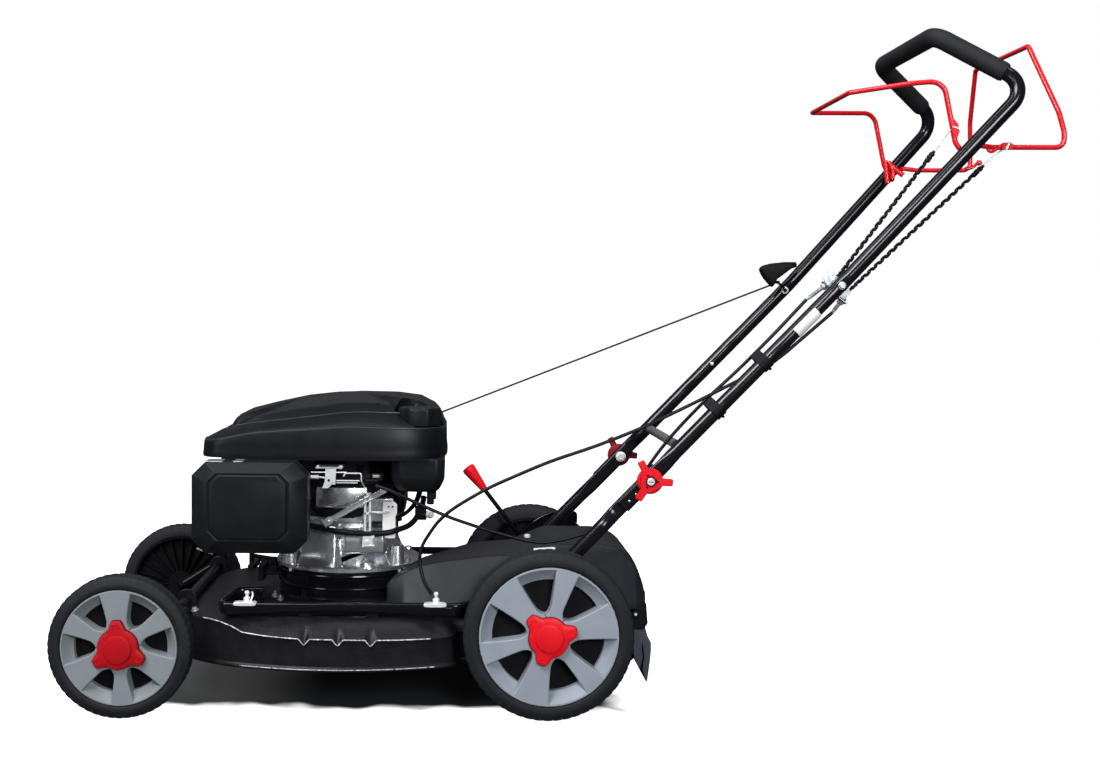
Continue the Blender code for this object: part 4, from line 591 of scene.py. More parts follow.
CORNER_X = 0.8012
KINK = handle_at(0.47, HANDLE_Y)
CORNER = handle_at(station(CORNER_X), HANDLE_Y) + Vector((-0.0172, 0.0242, 0.0028))
GRIP_TOP = Vector((0.65, 0.138, 1.143))
GRIP_FAR = Vector((GRIP_TOP.x, -GRIP_TOP.y, GRIP_TOP.z))
straight, mixes = along_y([(-0.062, 1), (0.03, 1), (0.068, 0), (0.08, 0)], 1, PRESS)
corners = fillet([straight[-1], KINK, CORNER, GRIP_TOP, GRIP_FAR], [0.6, 0.036, 0.034], 12)[1:-1]
right_half = list(straight)
for p in corners:
    reach = (p - right_half[-1]).length
    if reach > 0.02:
        start = right_half[-1]
        steps = int(reach / 0.008)
        right_half += [start.lerp(p, k / steps) for k in range(1, steps)]
    right_half.append(p)
upper_path = mirrored(right_half)
last = len(upper_path) - 1


def upper_size(k):
    n = min(k, last - k)
    p = upper_path[k]
    if n < len(mixes):
        return flat_mix(mixes[n])
    # shallow dents where bolts pull on the tube
    dent = 0.0
    for at, deep in ((0.1815, 0.12), (0.298, 0.12), (0.456, 0.3)):
        d = abs((p - handle_at(at, p.y)).dot(ALONG))
        if p.x < 0.78:
            dent = max(dent, deep * (1 - ease(0, 0.022, d)))
    return flat_mix(dent)


tubes = sweep(upper_path, upper_size, 36)
cross = handle_at(0.077, 0)
piece("upper_tubes", tubes, "tube", "upper_handle", "upper_handle", angle=30)
piece("cross_tube", rod((cross.x, -HANDLE_Y, cross.z), (cross.x, HANDLE_Y, cross.z), 0.0082, 36), "cast",
    body=HANDLE)
collars = [rod((cross.x, s * 0.178, cross.z), (cross.x, s * 0.148, cross.z), 0.0088, 32) for s in (-1, 1)]
piece("cross_tube_ends", collars, "rail", body=HANDLE)

# small rivets in the tubes
pins = []
for at, y in ((-0.048, -1), (-0.032, -1), (-0.048, 1), (0.055, 1)):
    c = handle_at(at, y * (HANDLE_Y + PRESS * (1 if at < 0 else 0.4))) + NEAR * (FLAT_T if at < 0
        else 0.0098)
    pins.append(revolve(c, NEAR, [(0.0016, -0.0004), (0.0016, 0.0004), (0.001, 0.0008)], 16))
piece("tube_rivets", pins, "zinc", body=HANDLE)

# foam grip
arc_g = fillet([CORNER, GRIP_TOP, GRIP_FAR], [0.034], 14)[1:-1]
first = CORNER + (GRIP_TOP - CORNER) * 0.25
half = [first.lerp(arc_g[0], k / 24) for k in range(24)] + arc_g
grip_path = mirrored(half)
grip_last = len(grip_path) - 1
GRIP_R = 0.016


def grip_size(k):
    r = GRIP_R - (0.0014 if k in (0, grip_last) else 0.0)
    return (r, r)


piece("foam_grip", sweep(grip_path, grip_size, 40), "foam", "handle_grip", "upper_handle", angle=40)

# bails: bent wires with a flattened lug, a short pull wire, hooks on the left and a fork on the right
WIRE_R, BAIL_Y = 0.0043, 0.1785
BRAKE_X, BRAKE_Z = 0.693, 0.9334
DRIVE_X, DRIVE_Z = 0.713, 0.9543


def bail(name, half, radius, node, body, far=None):
    """Wire from one half path and its mirror image; far replaces the half on the right."""
    near, away = [fillet(side + [(side[-1][0], -side[-1][1], side[-1][2])], radius, 9)[:-1]
        for side in (half, far or half)]
    mirror = [Vector((p.x, -p.y, p.z)) for p in near]
    return piece(name, sweep(mirror + list(reversed(away)), WIRE_R, 20, upward=(0.3, 0.2, 1)), "wire", node,
        body)


bail("brake_bail_wire", [(BRAKE_X, BAIL_Y + 0.01, BRAKE_Z), (BRAKE_X, BAIL_Y, BRAKE_Z),
    (0.6745, BAIL_Y, 0.9585), (0.6518, BAIL_Y, 1.0602), (0.6032, 0.165, 1.0577), (0.5135, 0.114, 1.0492)],
    [0.006, 0.022, 0.026, 0.1, 0.008], "brake_bail", "brake_bail")
DRIVE_EYE = [(DRIVE_X, BAIL_Y + 0.01, DRIVE_Z), (DRIVE_X, BAIL_Y, DRIVE_Z), (0.7373, BAIL_Y, 0.9513)]
DRIVE_END = (0.821, 0.112, 1.133)
bail("drive_bail_wire", DRIVE_EYE + [(0.8576, BAIL_Y, 0.9526), (0.8572, BAIL_Y, 0.9783),
    (0.85, 0.172, 1.012), DRIVE_END], [0.006, 0.02, 0.014, 0.03, 0.03, 0.01], "drive_bail", "drive_bail",
    DRIVE_EYE + [(0.8426, BAIL_Y, 0.9526), (0.8424, BAIL_Y, 0.9783), (0.8372, 0.172, 1.042), DRIVE_END])


def tab(name, at, towards, wide, body):
    """Flattened leaf on the wire with a bright slot."""
    at, towards = Vector(at), Vector(towards)
    d = (towards - at).normalized()
    n = Vector((-d.z, 0, d.x))
    long = (towards - at).length
    ring = [at, at + d * long * 0.3 + n * wide, at + d * long * 0.7 + n * wide, towards,
        at + d * long * 0.7 - n * wide, at + d * long * 0.3 - n * wide]
    leaf = skin([[Vector((p.x, p.y + y, p.z)) for p in ring] for y in (-0.005, -0.0025)], flat=True)
    piece(name + "_leaf", leaf, "red", body=body, bevel=0.0008)
    a = at + d * long * 0.45 + Vector((0, -0.0056, 0))
    piece(name + "_slot", sweep([a - n * wide * 0.7 - d * 0.002, a + n * wide * 0.9 + d * 0.003], 0.0016,
        12), "zinc", body=body)


tab("brake_lug", (0.669, -BAIL_Y, 0.998), (0.6755, -BAIL_Y, 0.964), 0.0062, "brake_bail")
tab("drive_lug", (0.775, -BAIL_Y, 0.9532), (0.744, -BAIL_Y, 0.9525), 0.0062, "drive_bail")
for name, a, b, c, body in (("brake_lug_wire", (0.6745, -0.184, 0.983), (0.6636, -0.178, 0.9765),
        (0.644, -0.1725, 0.9465), "brake_bail"), ("drive_lug_wire", (0.76, -0.184, 0.952),
        (0.7498, -0.178, 0.9445), (0.7257, -0.174, 0.9224), "drive_bail")):
    piece(name, sweep(smooth([a, b, c], 8), 0.0013, 10, upward=(0.2, 0.3, 1)), "grey_metal", body=body)


def bent_rod(points, radius, sides):
    return sweep(smooth(points, 8), radius, sides)


hooks = [bent_rod([(0.748, -0.19, 0.953), (0.73, -0.196, 0.942), (0.7225, -0.196, 0.945),
    (0.726, -0.194, 0.95)], 0.0026, 12)]
hooks.append(bent_rod([(0.686, -0.195, 0.9135), (0.696, -0.196, 0.915), (0.7054, -0.198, 0.9225)], 0.0028,
    12))
hooks.append(revolve((0.706, -0.199, 0.9185), (0.3, 0, 1), [(0.001, 0), (0.0042, 0.0016), (0.0048, 0.0045),
    (0.004, 0.0075), (0.001, 0.009)], 20))
piece("pivot_hooks", hooks, "wire", body=HANDLE)
fork = [bent_rod([(0.6755, 0.176, 0.969), (0.6775, 0.174, 0.948), (0.6804, 0.172, 0.9249)], 0.0048, 14)]
fork.append(bent_rod([(0.6803, 0.174, 0.9659), (0.693, 0.172, 0.953), (0.709, 0.168, 0.94)], 0.005, 14))
fork.append(bent_rod([(0.685, 0.172, 0.96), (0.69, 0.17, 0.945), (0.688, 0.17, 0.933)], 0.004, 14))
piece("far_fork", fork, "wire", body=HANDLE)

# control cables with their twisted sleeves
CABLE_R = 0.003
BRAKE_ENDS = (Vector((0.4915, -0.152, 0.734)), Vector((0.4386, -0.152, 0.6943)))
DRIVE_ENDS = (Vector((0.508, -0.16, 0.7092)), Vector((0.481, -0.16, 0.6727)))
brake_route = smooth([BRAKE_ENDS[1], (0.3867, -0.15, 0.6369), (0.3288, -0.148, 0.5766),
    (0.27, -0.148, 0.52), (0.2148, -0.148, 0.46), (0.1777, -0.15, 0.4109), (0.1476, -0.152, 0.362),
    (0.1185, -0.156, 0.3254), (0.0894, -0.161, 0.3035), (0.0569, -0.164, 0.2895), (0.0109, -0.168, 0.279),
    (-0.0217, -0.171, 0.279), (-0.0713, -0.176, 0.2911), (-0.1207, -0.182, 0.3069),
    (-0.168, -0.188, 0.3241), (-0.2219, -0.188, 0.3473), (-0.2626, -0.18, 0.3646),
    (-0.288, -0.168, 0.3715)], 7)
drive_route = smooth([DRIVE_ENDS[1], (0.4345, -0.16, 0.6316), (0.3965, -0.16, 0.5983),
    (0.36, -0.16, 0.5724), (0.3227, -0.16, 0.555), (0.2631, -0.1615, 0.5241), (0.2116, -0.164, 0.4986),
    (0.1551, -0.176, 0.4734), (0.0805, -0.188, 0.4448), (0.0065, -0.195, 0.4196), (-0.0503, -0.2, 0.3962),
    (-0.1018, -0.2, 0.3722), (-0.1531, -0.2, 0.3416), (-0.1796, -0.2, 0.3195), (-0.1961, -0.2, 0.2975),
    (-0.2092, -0.2, 0.2738), (-0.2123, -0.202, 0.2485), (-0.2053, -0.209, 0.2192), (-0.192, -0.218, 0.198)],
    7)
fold = ("chassis", "upper_handle", (0.06, -0.16, 0.3), (0.3, -0.16, 0.56))
piece("brake_cable_cover", sweep(brake_route, CABLE_R, 16), "cable", "brake_cable", fold)
piece("drive_cable_cover", sweep(drive_route, CABLE_R, 16), "cable", "drive_cable", fold)


def sleeve(name, low, high, node, body):
    """Twisted cover with a bulb near its top."""
    a, b = Vector(low), Vector(high)
    axis = (b - a).normalized()
    u, v = frame_at(axis)
    pts = []
    count, turns = 260, 20
    for k in range(count + 1):
        t = k / count
        swing = 0.0013 * min(1.0, 8 * t, 8 * (1 - t))
        pts.append(a + (b - a) * t + (u * cos(turns * TAU * t) + v * sin(turns * TAU * t)) * swing)

    def fat(k):
        t = k / count
        r = 0.0031 + 0.0005 * cos(2 * turns * TAU * t) + 0.0016 * (ease(0.9, 0.93, t) - ease(0.97, 1.0, t))
        r -= 0.0008 * ease(0.985, 1.0, t)
        return (r, r * 0.9)
    ends = ("upper_handle", body, tuple(a + axis * 0.06), tuple(b))
    piece(name, sweep(pts, fat, 12, upward=u), "cable", node, ends)


sleeve("brake_sleeve_cover", BRAKE_ENDS[0] + Vector((0.0006, 0, 0.0008)), (0.643, -0.17, 0.945),
    "brake_cable_sleeve", "brake_bail")
sleeve("drive_sleeve_cover", DRIVE_ENDS[0] + Vector((0.0006, 0, 0.0008)), (0.7257, -0.172, 0.9215),
    "drive_cable_sleeve", "drive_bail")

# zinc bracket with the cable adjusters, their nuts and a rubber boot
hub = handle_at(0.456, 0)
plate = skin([[hub + ALONG * a + ACROSS * b + Vector((0, y, 0)) for a, b in ((-0.009, -0.024),
    (0.009, -0.024), (0.011, -0.008), (0.011, 0.01), (0.008, 0.028), (-0.008, 0.028), (-0.011, 0.01),
    (-0.011, -0.008))] for y in (-0.1702, -0.1684)], flat=True)
for ends, t, reach in ((BRAKE_ENDS, 0.4, -0.145), (DRIVE_ENDS, 0.45, -0.153)):
    c = ends[0].lerp(ends[1], t)
    run_dir = (ends[1] - ends[0]).normalized()
    side_dir = Vector((-run_dir.z, 0, run_dir.x))
    ring = [c + run_dir * a + side_dir * b for a, b in ((-0.001, -0.0085), (0.001, -0.0085),
        (0.001, 0.0085), (-0.001, 0.0085))]
    plate = join(plate, skin([[Vector((q.x, y, q.z)) for q in ring] for y in (-0.17, reach)], flat=True))
plate = join(plate, hex_bolt(Vector((hub.x, -0.1946, hub.z)), NEAR, 0.0052, 0.0036, 0.0066))
piece("cable_bracket_plate", plate, "grey_metal", "cable_bracket", "upper_handle", bevel=0.0003)
screws = []
for (top, low), t in ((BRAKE_ENDS, 0.4), (DRIVE_ENDS, 0.45)):
    run_dir = (low - top).normalized()
    reach = (low - top).length
    rows = [(0.002, 0), (0.003, 0.003)]
    k = 0.004
    while k < reach - 0.005:
        rows += [(0.0036, k), (0.003, k + 0.0006)]
        k += 0.0012
    rows += [(0.003, reach - 0.003), (0.0018, reach)]
    screws.append(revolve(top, run_dir, rows, 20))
    for a in (t * reach - 0.0062, t * reach + 0.0014):
        screws.append(revolve(top + run_dir * a, run_dir, [(0.0058, 0), (0.0062, 0.0006), (0.0062, 0.0042),
            (0.0058, 0.0048)], 6))
piece("cable_adjusters", screws, "grey_metal", body=HANDLE, angle=25)
up_dir = (BRAKE_ENDS[0] - BRAKE_ENDS[1]).normalized()
piece("cable_boot", revolve(BRAKE_ENDS[0] - up_dir * 0.014, up_dir,
    [(0.005, 0), (0.0056, 0.002), (0.0052, 0.006), (0.0042, 0.012), (0.0036, 0.016), (0.004, 0.017),
    (0.0032, 0.02)], 24), "dark", body=HANDLE)

# clips that hold the cables on the left tube, and a bare plate
for k, x in enumerate((0.2837, 0.3612)):
    c = handle_at(station(x), -HANDLE_Y)
    loops = []
    for a, r in ((-0.0095, TUBE_R + 0.001), (-0.009, TUBE_R + 0.002), (0.009, TUBE_R + 0.002),
            (0.0095, TUBE_R + 0.001)):
        ring = []
        for t in [TAU * n / 32 for n in range(32)]:
            tail = 0.01 * (1 - ease(0, 0.75, abs(t - pi / 2))) if t < pi else 0.0
            ring.append(c + ALONG * a + (ACROSS * sin(t) * (r + tail) - NEAR * cos(t) * r))
        loops.append(ring)
    piece("cable_clip_%d" % k, skin(loops), "dark", body=HANDLE, angle=30, bevel=0.0004)
    stud = c - ACROSS * (TUBE_R + 0.0015)
    piece("clip_stud_%d" % k, revolve(stud, -ACROSS, [(0.0024, 0), (0.0024, 0.003), (0.0012, 0.0038)], 16),
        "dark", body=HANDLE)
WRAP = 122
a_s, b_s = station(0.411), station(0.446)
loops = []
for at in (a_s, a_s + 0.001, b_s - 0.001, b_s):
    outer = TUBE_R + (0.0009 if at in (a_s, b_s) else 0.0014)
    turns = [(outer, -92 + WRAP * n / 24) for n in range(25)] + [(TUBE_R + 0.0002, 30 - WRAP * n / 24)
        for n in range(25)]
    c = handle_at(at, -HANDLE_Y)
    loops.append([c + NEAR * r * cos(radians(t)) + ACROSS * r * sin(radians(t)) for r, t in turns])
piece("bare_plate", skin(loops, flat=True), "plate", body=HANDLE)

# starter rope, its guide and the pull handle
EYE = Vector((0.46, 0.152, 0.73))
pull = Vector((-0.149988, 0, 0.988688))
rope_in = Vector((-0.18, 0.131, 0.4745))
under = EYE + Vector((-0.004, 0, -0.0035))


def stranded(points, radius, turns):
    loops = []
    axis = (points[-1] - points[0]).normalized()
    a, b = frame_at(axis)
    for k, p in enumerate(points):
        phase = turns * TAU * k / (len(points) - 1)
        ring = []
        for n in range(18):
            t = TAU * n / 18
            r = radius * (1.0 - 0.16 * abs(sin(1.5 * (t + phase))))
            ring.append(p + a * r * cos(t) + b * r * sin(t))
        loops.append(ring)
    return skin(loops)


piece("starter_rope_run", stranded([rope_in.lerp(under, k / 400) for k in range(401)], 0.0019, 60), "cable",
    "starter_rope", ("chassis", "upper_handle", (0.05, 0.14, 0.55), (0.3, 0.15, 0.66)), angle=60)
piece("starter_rope_end", sweep(smooth([under, EYE + Vector((0, 0, 0.002)), EYE + pull * 0.014], 6), 0.0014,
    12, upward=(0, 1, 0.1)), "cable", body=("upper_handle", "starter_grip", tuple(EYE + pull * 0.002),
    tuple(EYE + pull * 0.014)))
bolt_at = handle_at(station(0.4842), 0.17)
ring = []
for k in range(33):
    a = radians(20 + 300 * k / 32)
    ring.append(EYE + Vector((0.0085 * cos(a), 0.0085 * sin(a), 0.0012 * k / 32)))
tail = smooth([Vector((bolt_at.x, bolt_at.y - 0.002, bolt_at.z)),
    Vector((bolt_at.x - 0.004, 0.159, bolt_at.z + 0.004)), ring[0] + Vector((0.001, 0.003, -0.001))], 6)
guide = sweep(tail + ring, 0.0022, 16, upward=(0.2, 0.1, 1))
piece("rope_guide_wire", guide, "dark", "rope_guide", "upper_handle")
piece("rope_guide_bolt", revolve((bolt_at.x, 0.17, bolt_at.z), NEAR,
    [(0.0034, 0), (0.0068, 0), (0.0068, 0.003), (0.0036, 0.0036), (0.0034, 0.0006)], 32, closed=True),
    "zinc", body=HANDLE)
dent_at = handle_at(station(0.3461), HANDLE_Y)
piece("far_tube_screw", revolve((dent_at.x, dent_at.y - 0.01, dent_at.z), NEAR,
    [(0.0034, 0), (0.0034, 0.002), (0.0022, 0.0028)], 20), "zinc", body=HANDLE)
# wedge-shaped pull handle: wide rounded top bar, narrowing to the neck where the rope leaves
wedge = [(0.4288, 0.7542), (0.4312, 0.7595), (0.4373, 0.763), (0.4512, 0.7666), (0.4755, 0.7694),
    (0.4981, 0.7696), (0.5005, 0.7654), (0.5001, 0.7603), (0.4897, 0.7567), (0.476, 0.7461),
    (0.4623, 0.7358), (0.4574, 0.7253), (0.454, 0.7211), (0.4487, 0.7252), (0.4379, 0.7372),
    (0.4325, 0.7456)]
mid_x, mid_y, mid_z = 0.46, 0.15, 0.752
loops = []
for y, grow in ((-0.0125, 0.72), (-0.011, 0.88), (-0.008, 0.97), (-0.004, 1.0), (0.004, 1.0), (0.008, 0.97),
        (0.011, 0.88), (0.0125, 0.72)):
    loops.append([(mid_x + (x - mid_x) * grow, mid_y + y, mid_z + (z - mid_z) * grow) for x, z in wedge])
piece("pull_handle", skin(loops), "dark", "starter_grip", "starter_grip", angle=40, bevel=0.0006)


# fold knobs: a round base under a three-armed star, with a slotted screw
def knob(tag, s):
    """Knob on one side; s is -1 on the left and 1 on the right."""
    y0 = HANDLE_Y + PRESS + FLAT_T + 0.0003
    body = "fold_knob_" + tag

    def star(scale, grow, rise):
        out = []
        for k in range(180):
            ang = TAU * k / 180
            off = abs((ang + TAU / 6) % (TAU / 3) - TAU / 6)
            arm = min((0.0372 + grow) / max(0.2, cos(off)), (0.006 + grow) / max(1e-3, sin(off)))
            base = (0.0168 + 0.005 * (1 - ease(0, radians(60), off))) + grow
            r = max(base, arm) if abs(base - arm) > 0.003 else max(base, arm) + 0.0004
            a = ang + radians(-3)
            out.append(Vector((KNOB_X + r * scale * cos(a), s * (y0 + rise), KNOB_Z + r * scale * sin(a))))
        return out
    base = revolve((KNOB_X, s * y0, KNOB_Z), (0, s, 0), [(0.0195, 0), (0.0218, 0.0015), (0.0218, 0.009),
        (0.0205, 0.01), (0.01, 0.0102)], 72)
    top = skin([star(1.0, -0.0008, 0.006), star(1.0, 0, 0.0072), star(1.0, 0, 0.0145),
        star(1.0, -0.0012, 0.016), star(0.35, 0, 0.0162)], end=False)
    # the right knob is drawn in the darker red: painted shade
    piece("knob_base_" + tag, base, "red" if s < 0 else "painted_shade_red", "fold_knob_" + tag, body)
    ring = revolve((KNOB_X, s * (y0 + 0.012), KNOB_Z), (0, s, 0),
        [(0.0066, 0), (0.0066, 0.004), (0.0074, 0.0043), (0.01, 0.0043)], 48)
    piece("knob_star_" + tag, [top, ring], "red" if s < 0 else "painted_shade_red", body=body, angle=28)
    # a dark cup round the screw and a dark bar over its slot: painted shade in the recesses
    cup = revolve((KNOB_X, s * (y0 + 0.0162), KNOB_Z), (0, s, 0),
        [(0.0084, 0), (0.0084, 0.0006), (0.007, 0.0006)], 40)
    piece("knob_cup_shade_" + tag, cup, "dark", body=body)
    screw = revolve((KNOB_X, s * (y0 + 0.0164), KNOB_Z), (0, s, 0),
        [(0.0064, 0), (0.0064, 0.0016), (0.0054, 0.0026)], 40)
    piece("knob_screw_" + tag, screw, "zinc", body=body)
    slot_y = s * (y0 + 0.0188)
    piece("knob_slot_shade_" + tag, block(KNOB_X - 0.004, KNOB_X + 0.004, min(slot_y, slot_y + s * 0.0006),
        max(slot_y, slot_y + s * 0.0006), KNOB_Z - 0.0006, KNOB_Z + 0.0006), "dark", body=body)


knob("left", -1)
knob("right", 1)


# engine hood: a skirt with a crease, a slanted band, a groove and a dome
HOOD_X0, HOOD_X1, HOOD_W, HOOD_LIP = -0.579, -0.168, 0.17, 0.417
CAP = Vector((-0.2165, -0.11, 0))
crease = table_curve([(-0.579, 0.444), (-0.57, 0.445), (-0.5, 0.459), (-0.428, 0.466), (-0.341, 0.4706),
    (-0.254, 0.469), (-0.176, 0.4655), (-0.168, 0.465)])
crest = table_curve([(-0.579, 0.452), (-0.545, 0.4655), (-0.512, 0.472), (-0.418, 0.4835), (-0.359, 0.4915),
    (-0.315, 0.4938), (-0.256, 0.4925), (-0.168, 0.488)])
dome = table_curve([(-0.579, 0.448), (-0.559, 0.465), (-0.532, 0.4834), (-0.4795, 0.4985), (-0.417, 0.5142),
    (-0.37, 0.52), (-0.324, 0.5215), (-0.26, 0.5175), (-0.218, 0.51), (-0.193, 0.496), (-0.174, 0.48),
    (-0.168, 0.466)])
side_rise = table_curve([(0, 0), (0.041, 0), (0.05, 0.06), (0.06, 0.22), (0.07, 0.42), (0.08, 0.54),
    (0.09, 0.58), (0.105, 0.7), (0.13, 0.88), (0.15, 0.97), (0.17, 1.0)])
front_rise = table_curve([(0, 0), (0.039, 0), (0.043, 0.35), (0.047, 0.75), (0.055, 1.0)])
rear_rise = table_curve([(0, 0), (0.004, 0.1), (0.007, 0.6), (0.012, 1.0)])


def hood_point(c, s, d, lip=None):
    """Point of the hood in the direction (c, s) at a distance d inwards from its outline."""
    a, cx = (HOOD_X1 - HOOD_X0) / 2, (HOOD_X0 + HOOD_X1) / 2
    bend = 0.15 if c < 0 else 0.42
    x = cx + copysign(abs(c) ** bend, c) * (a - d)
    y = copysign(abs(s) ** 0.42, s) * (HOOD_W - d)
    ahead = 0.0125 * (1 - ease(-0.579, -0.4, x))
    if lip is not None:
        return Vector((x - ahead, y, lip))
    x -= ahead
    wx = ease(0.5, 0.86, abs(c))
    band = min(1.0, max(0, (d - 0.004) / 0.033)) ** 0.8
    rise = (1 - wx) * side_rise(d) + wx * (front_rise(d) if c < 0 else rear_rise(d))
    if c > 0:
        band *= 1 - wx
    base = crease(x) + (crest(x) - crease(x)) * band
    z = base + (dome(x) - base) * rise
    if c <= 0 or wx < 1:
        z -= 0.0028 * (ease(0.037, 0.0405, d) - ease(0.0425, 0.05, d)) * (1 - (wx if c > 0 else 0))
    if d <= 0.0015:
        z -= 0.0024
    elif d <= 0.0025:
        z -= 0.0004
    return Vector((x, y, z))


HOOD_SIDES = 216
around = [(cos(TAU * (k + 0.5) / HOOD_SIDES), sin(TAU * (k + 0.5) / HOOD_SIDES)) for k in range(HOOD_SIDES)]
loops = [[hood_point(c, s, d, lip) for c, s in around] for d, lip in ((0.004, 0.4385), (0.0032, 0.418),
    (0.003, HOOD_LIP), (0, HOOD_LIP), (-0.0004, HOOD_LIP + 0.004), (0.0004, HOOD_LIP + 0.01),
    (0.001, HOOD_LIP + 0.02))]
for d in (0.0015, 0.0025, 0.004, 0.0055, 0.008, 0.012, 0.017, 0.022, 0.027, 0.032, 0.0355, 0.0372, 0.0388,
        0.0405, 0.0425, 0.045, 0.048, 0.052, 0.056, 0.06, 0.065, 0.07, 0.075, 0.08, 0.086, 0.092, 0.1, 0.11,
        0.12, 0.132, 0.145, 0.158, 0.168):
    loops.append([hood_point(c, s, d) for c, s in around])
hood = piece("engine_hood", skin(loops), "hood", "engine_shroud", angle=32)
# thin beads in a lighter colour along the crease and the ridges: painted highlight lines
edges = []
for d, size, limit in ((0.003, 0.0009, 0.985), (0.0372, 0.001, 0.8), (0.0425, 0.0007, 0.74)):
    line = [hood_point(c, s, d) for c, s in around if s < 0 and abs(c) < limit]
    edges.append(sweep(line, size, 8, upward=UP))
piece("hood_ridge_highlights", edges, "edge")


def cut_with(obj, name, bm):
    """Takes a shape out of a shown piece, leaving a plain mesh."""
    tool = add_object(name, mesh_from(name, bm))
    mod = obj.modifiers.new("cut", "BOOLEAN")
    mod.operation = "DIFFERENCE"
    mod.solver = "EXACT"
    mod.object = tool
    bpy.context.view_layer.update()
    made = bpy.data.meshes.new_from_object(obj.evaluated_get(bpy.context.evaluated_depsgraph_get()))
    obj.modifiers.remove(mod)
    obj.data = made
    bpy.data.objects.remove(tool, do_unlink=True)
    made.shade_smooth()
    made.set_sharp_from_angle(angle=radians(32))


RECESS_R = 0.0445
cut_with(hood, "cap_recess", rod((CAP.x, CAP.y, 0.4695), (CAP.x, CAP.y, 0.56), RECESS_R, 64))
piece("hood_nub", revolve((-0.292, -0.092, 0.504), (0, -0.25, 1), [(0.0055, -0.002), (0.005, 0.0024),
    (0.0034, 0.0032)], 20), "hood")
piece("hood_lip_strip", block(HOOD_X0 + 0.03, HOOD_X1 - 0.03, -0.1697, -0.167, HOOD_LIP - 0.003,
    HOOD_LIP + 0.001), "dark")

# fuel cap with eight scallops and a raised rim
loops = []
for scale, z, wave in ((0.9, 0.47, 1), (0.985, 0.4712, 1), (1, 0.474, 1), (1, 0.4955, 1),
        (0.985, 0.4985, 0.9), (0.93, 0.5012, 0.6), (0.8, 0.502, 0.3), (0.76, 0.5012, 0.1), (0.7, 0.5008, 0),
        (0.3, 0.5026, 0)):
    turns = [TAU * k / 192 for k in range(192)]
    spread = [(0.0392 - 0.0036 * wave * abs(cos(4 * a)) ** 1.5) * scale for a in turns]
    loops.append([(CAP.x + r * cos(a), CAP.y + r * sin(a), z) for r, a in zip(spread, turns)])
piece("fuel_cap_look", skin(loops), "box", "fuel_cap", "fuel_cap", angle=28)

# fuel tank hanging below the hood's rear
tank_plan = [(-0.264, -0.148), (-0.248, -0.163), (-0.186, -0.163), (-0.1725, -0.154), (-0.172, 0.06),
    (-0.264, 0.06)]


def shrink(loop, d):
    cx = sum(p[0] for p in loop) / len(loop)
    cy = sum(p[1] for p in loop) / len(loop)
    return [(x + (d if x < cx else -d), y + (d if y < cy else -d)) for x, y in loop]


loops = [[(x, y, z) for x, y in shrink(tank_plan, d)] for d, z in ((0.018, 0.3585), (0.0125, 0.36),
    (0.0075, 0.366), (0.0015, 0.379), (0, 0.385), (0, 0.4168))]
tank = [skin(loops, flat=True), block(-0.203, -0.1865, -0.132, -0.108, 0.344, 0.36),
    block(-0.203, -0.1905, -0.13, -0.11, 0.3345, 0.345)]
piece("fuel_tank_look", tank, "box", "fuel_tank", angle=30, bevel=0.0022)

# air filter box: octagonal cover with wide chamfers round a raised panel
COVER_TOP = 0.4165
AIR = (-0.5875, -0.3975, 0.266, COVER_TOP)
INLET_X, INLET_Z = -0.45, 0.352


def octagon(d, cut):
    x0, x1, z0, z1 = AIR[0] + d * 1.12, AIR[1] - d * 1.18, AIR[2] + d * 0.96, AIR[3] - d * 0.68
    return [(x0 + cut, z0), (x1 - cut, z0), (x1, z0 + cut), (x1, z1 - cut), (x1 - cut, z1), (x0 + cut, z1),
        (x0, z1 - cut), (x0, z0 + cut)]


def octagon_box(rows):
    return skin([[(x, y, z) for x, z in octagon(d, cut)] for y, d, cut in rows], flat=True)


piece("filter_cover", octagon_box([(-0.1865, 0, 0.022), (-0.229, 0, 0.022), (-0.2305, 0.0015, 0.022),
    (-0.2455, 0.0225, 0.016), (-0.246, 0.0245, 0.015), (-0.2444, 0.0258, 0.015), (-0.2444, 0.0272, 0.015),
    (-0.248, 0.0285, 0.014), (-0.249, 0.031, 0.013)]), "box", "air_filter_cover", angle=20, bevel=0.0009)
back = octagon_box([(-0.1862, 0.0012, 0.022), (-0.174, 0.0012, 0.022), (-0.168, 0.009, 0.018)])
piece("filter_base", [back, rod((INLET_X, -0.17, INLET_Z), (INLET_X, -0.14, INLET_Z), 0.02, 40)], "dark",
    "air_filter_base", angle=25, bevel=0.0008)
latches = [block(-0.566, -0.538, -0.226, -0.19, 0.415, 0.4172),
    block(-0.52, -0.505, -0.226, -0.19, 0.415, 0.4176)]
piece("filter_latches", latches, "steel", bevel=0.0004)
piece("filter_drain_rod", rod((-0.583, -0.205, 0.269), (-0.556, -0.205, 0.26), 0.0016, 12), "zinc")

# crankcase: round lower flange, dished cone, drum and cast bosses
MID = Vector((BLADE_X, 0, 0))
FLANGE_FOOT, FLANGE_R = 0.2138, 0.13
case = revolve(MID, UP, [(0.118, FLANGE_FOOT), (0.129, FLANGE_FOOT), (FLANGE_R, 0.2146), (FLANGE_R, 0.22),
    (0.1288, 0.2212), (0.119, 0.2222), (0.112, 0.2262), (0.104, 0.233), (0.096, 0.242), (0.09, 0.256),
    (0.088, 0.266), (0.0905, 0.268), (0.0905, 0.272), (0.086, 0.2735), (0.085, 0.296), (0.098, 0.2985),
    (0.1, 0.3), (0.1, 0.305), (0.098, 0.3062), (0.088, 0.3075), (0.086, 0.325), (0.079, 0.342),
    (0.066, 0.356), (0.06, 0.39), (0.03, 0.402)], 128)
piece("crankcase_drum", case, "cast", "crankcase", angle=30)
bosses = []
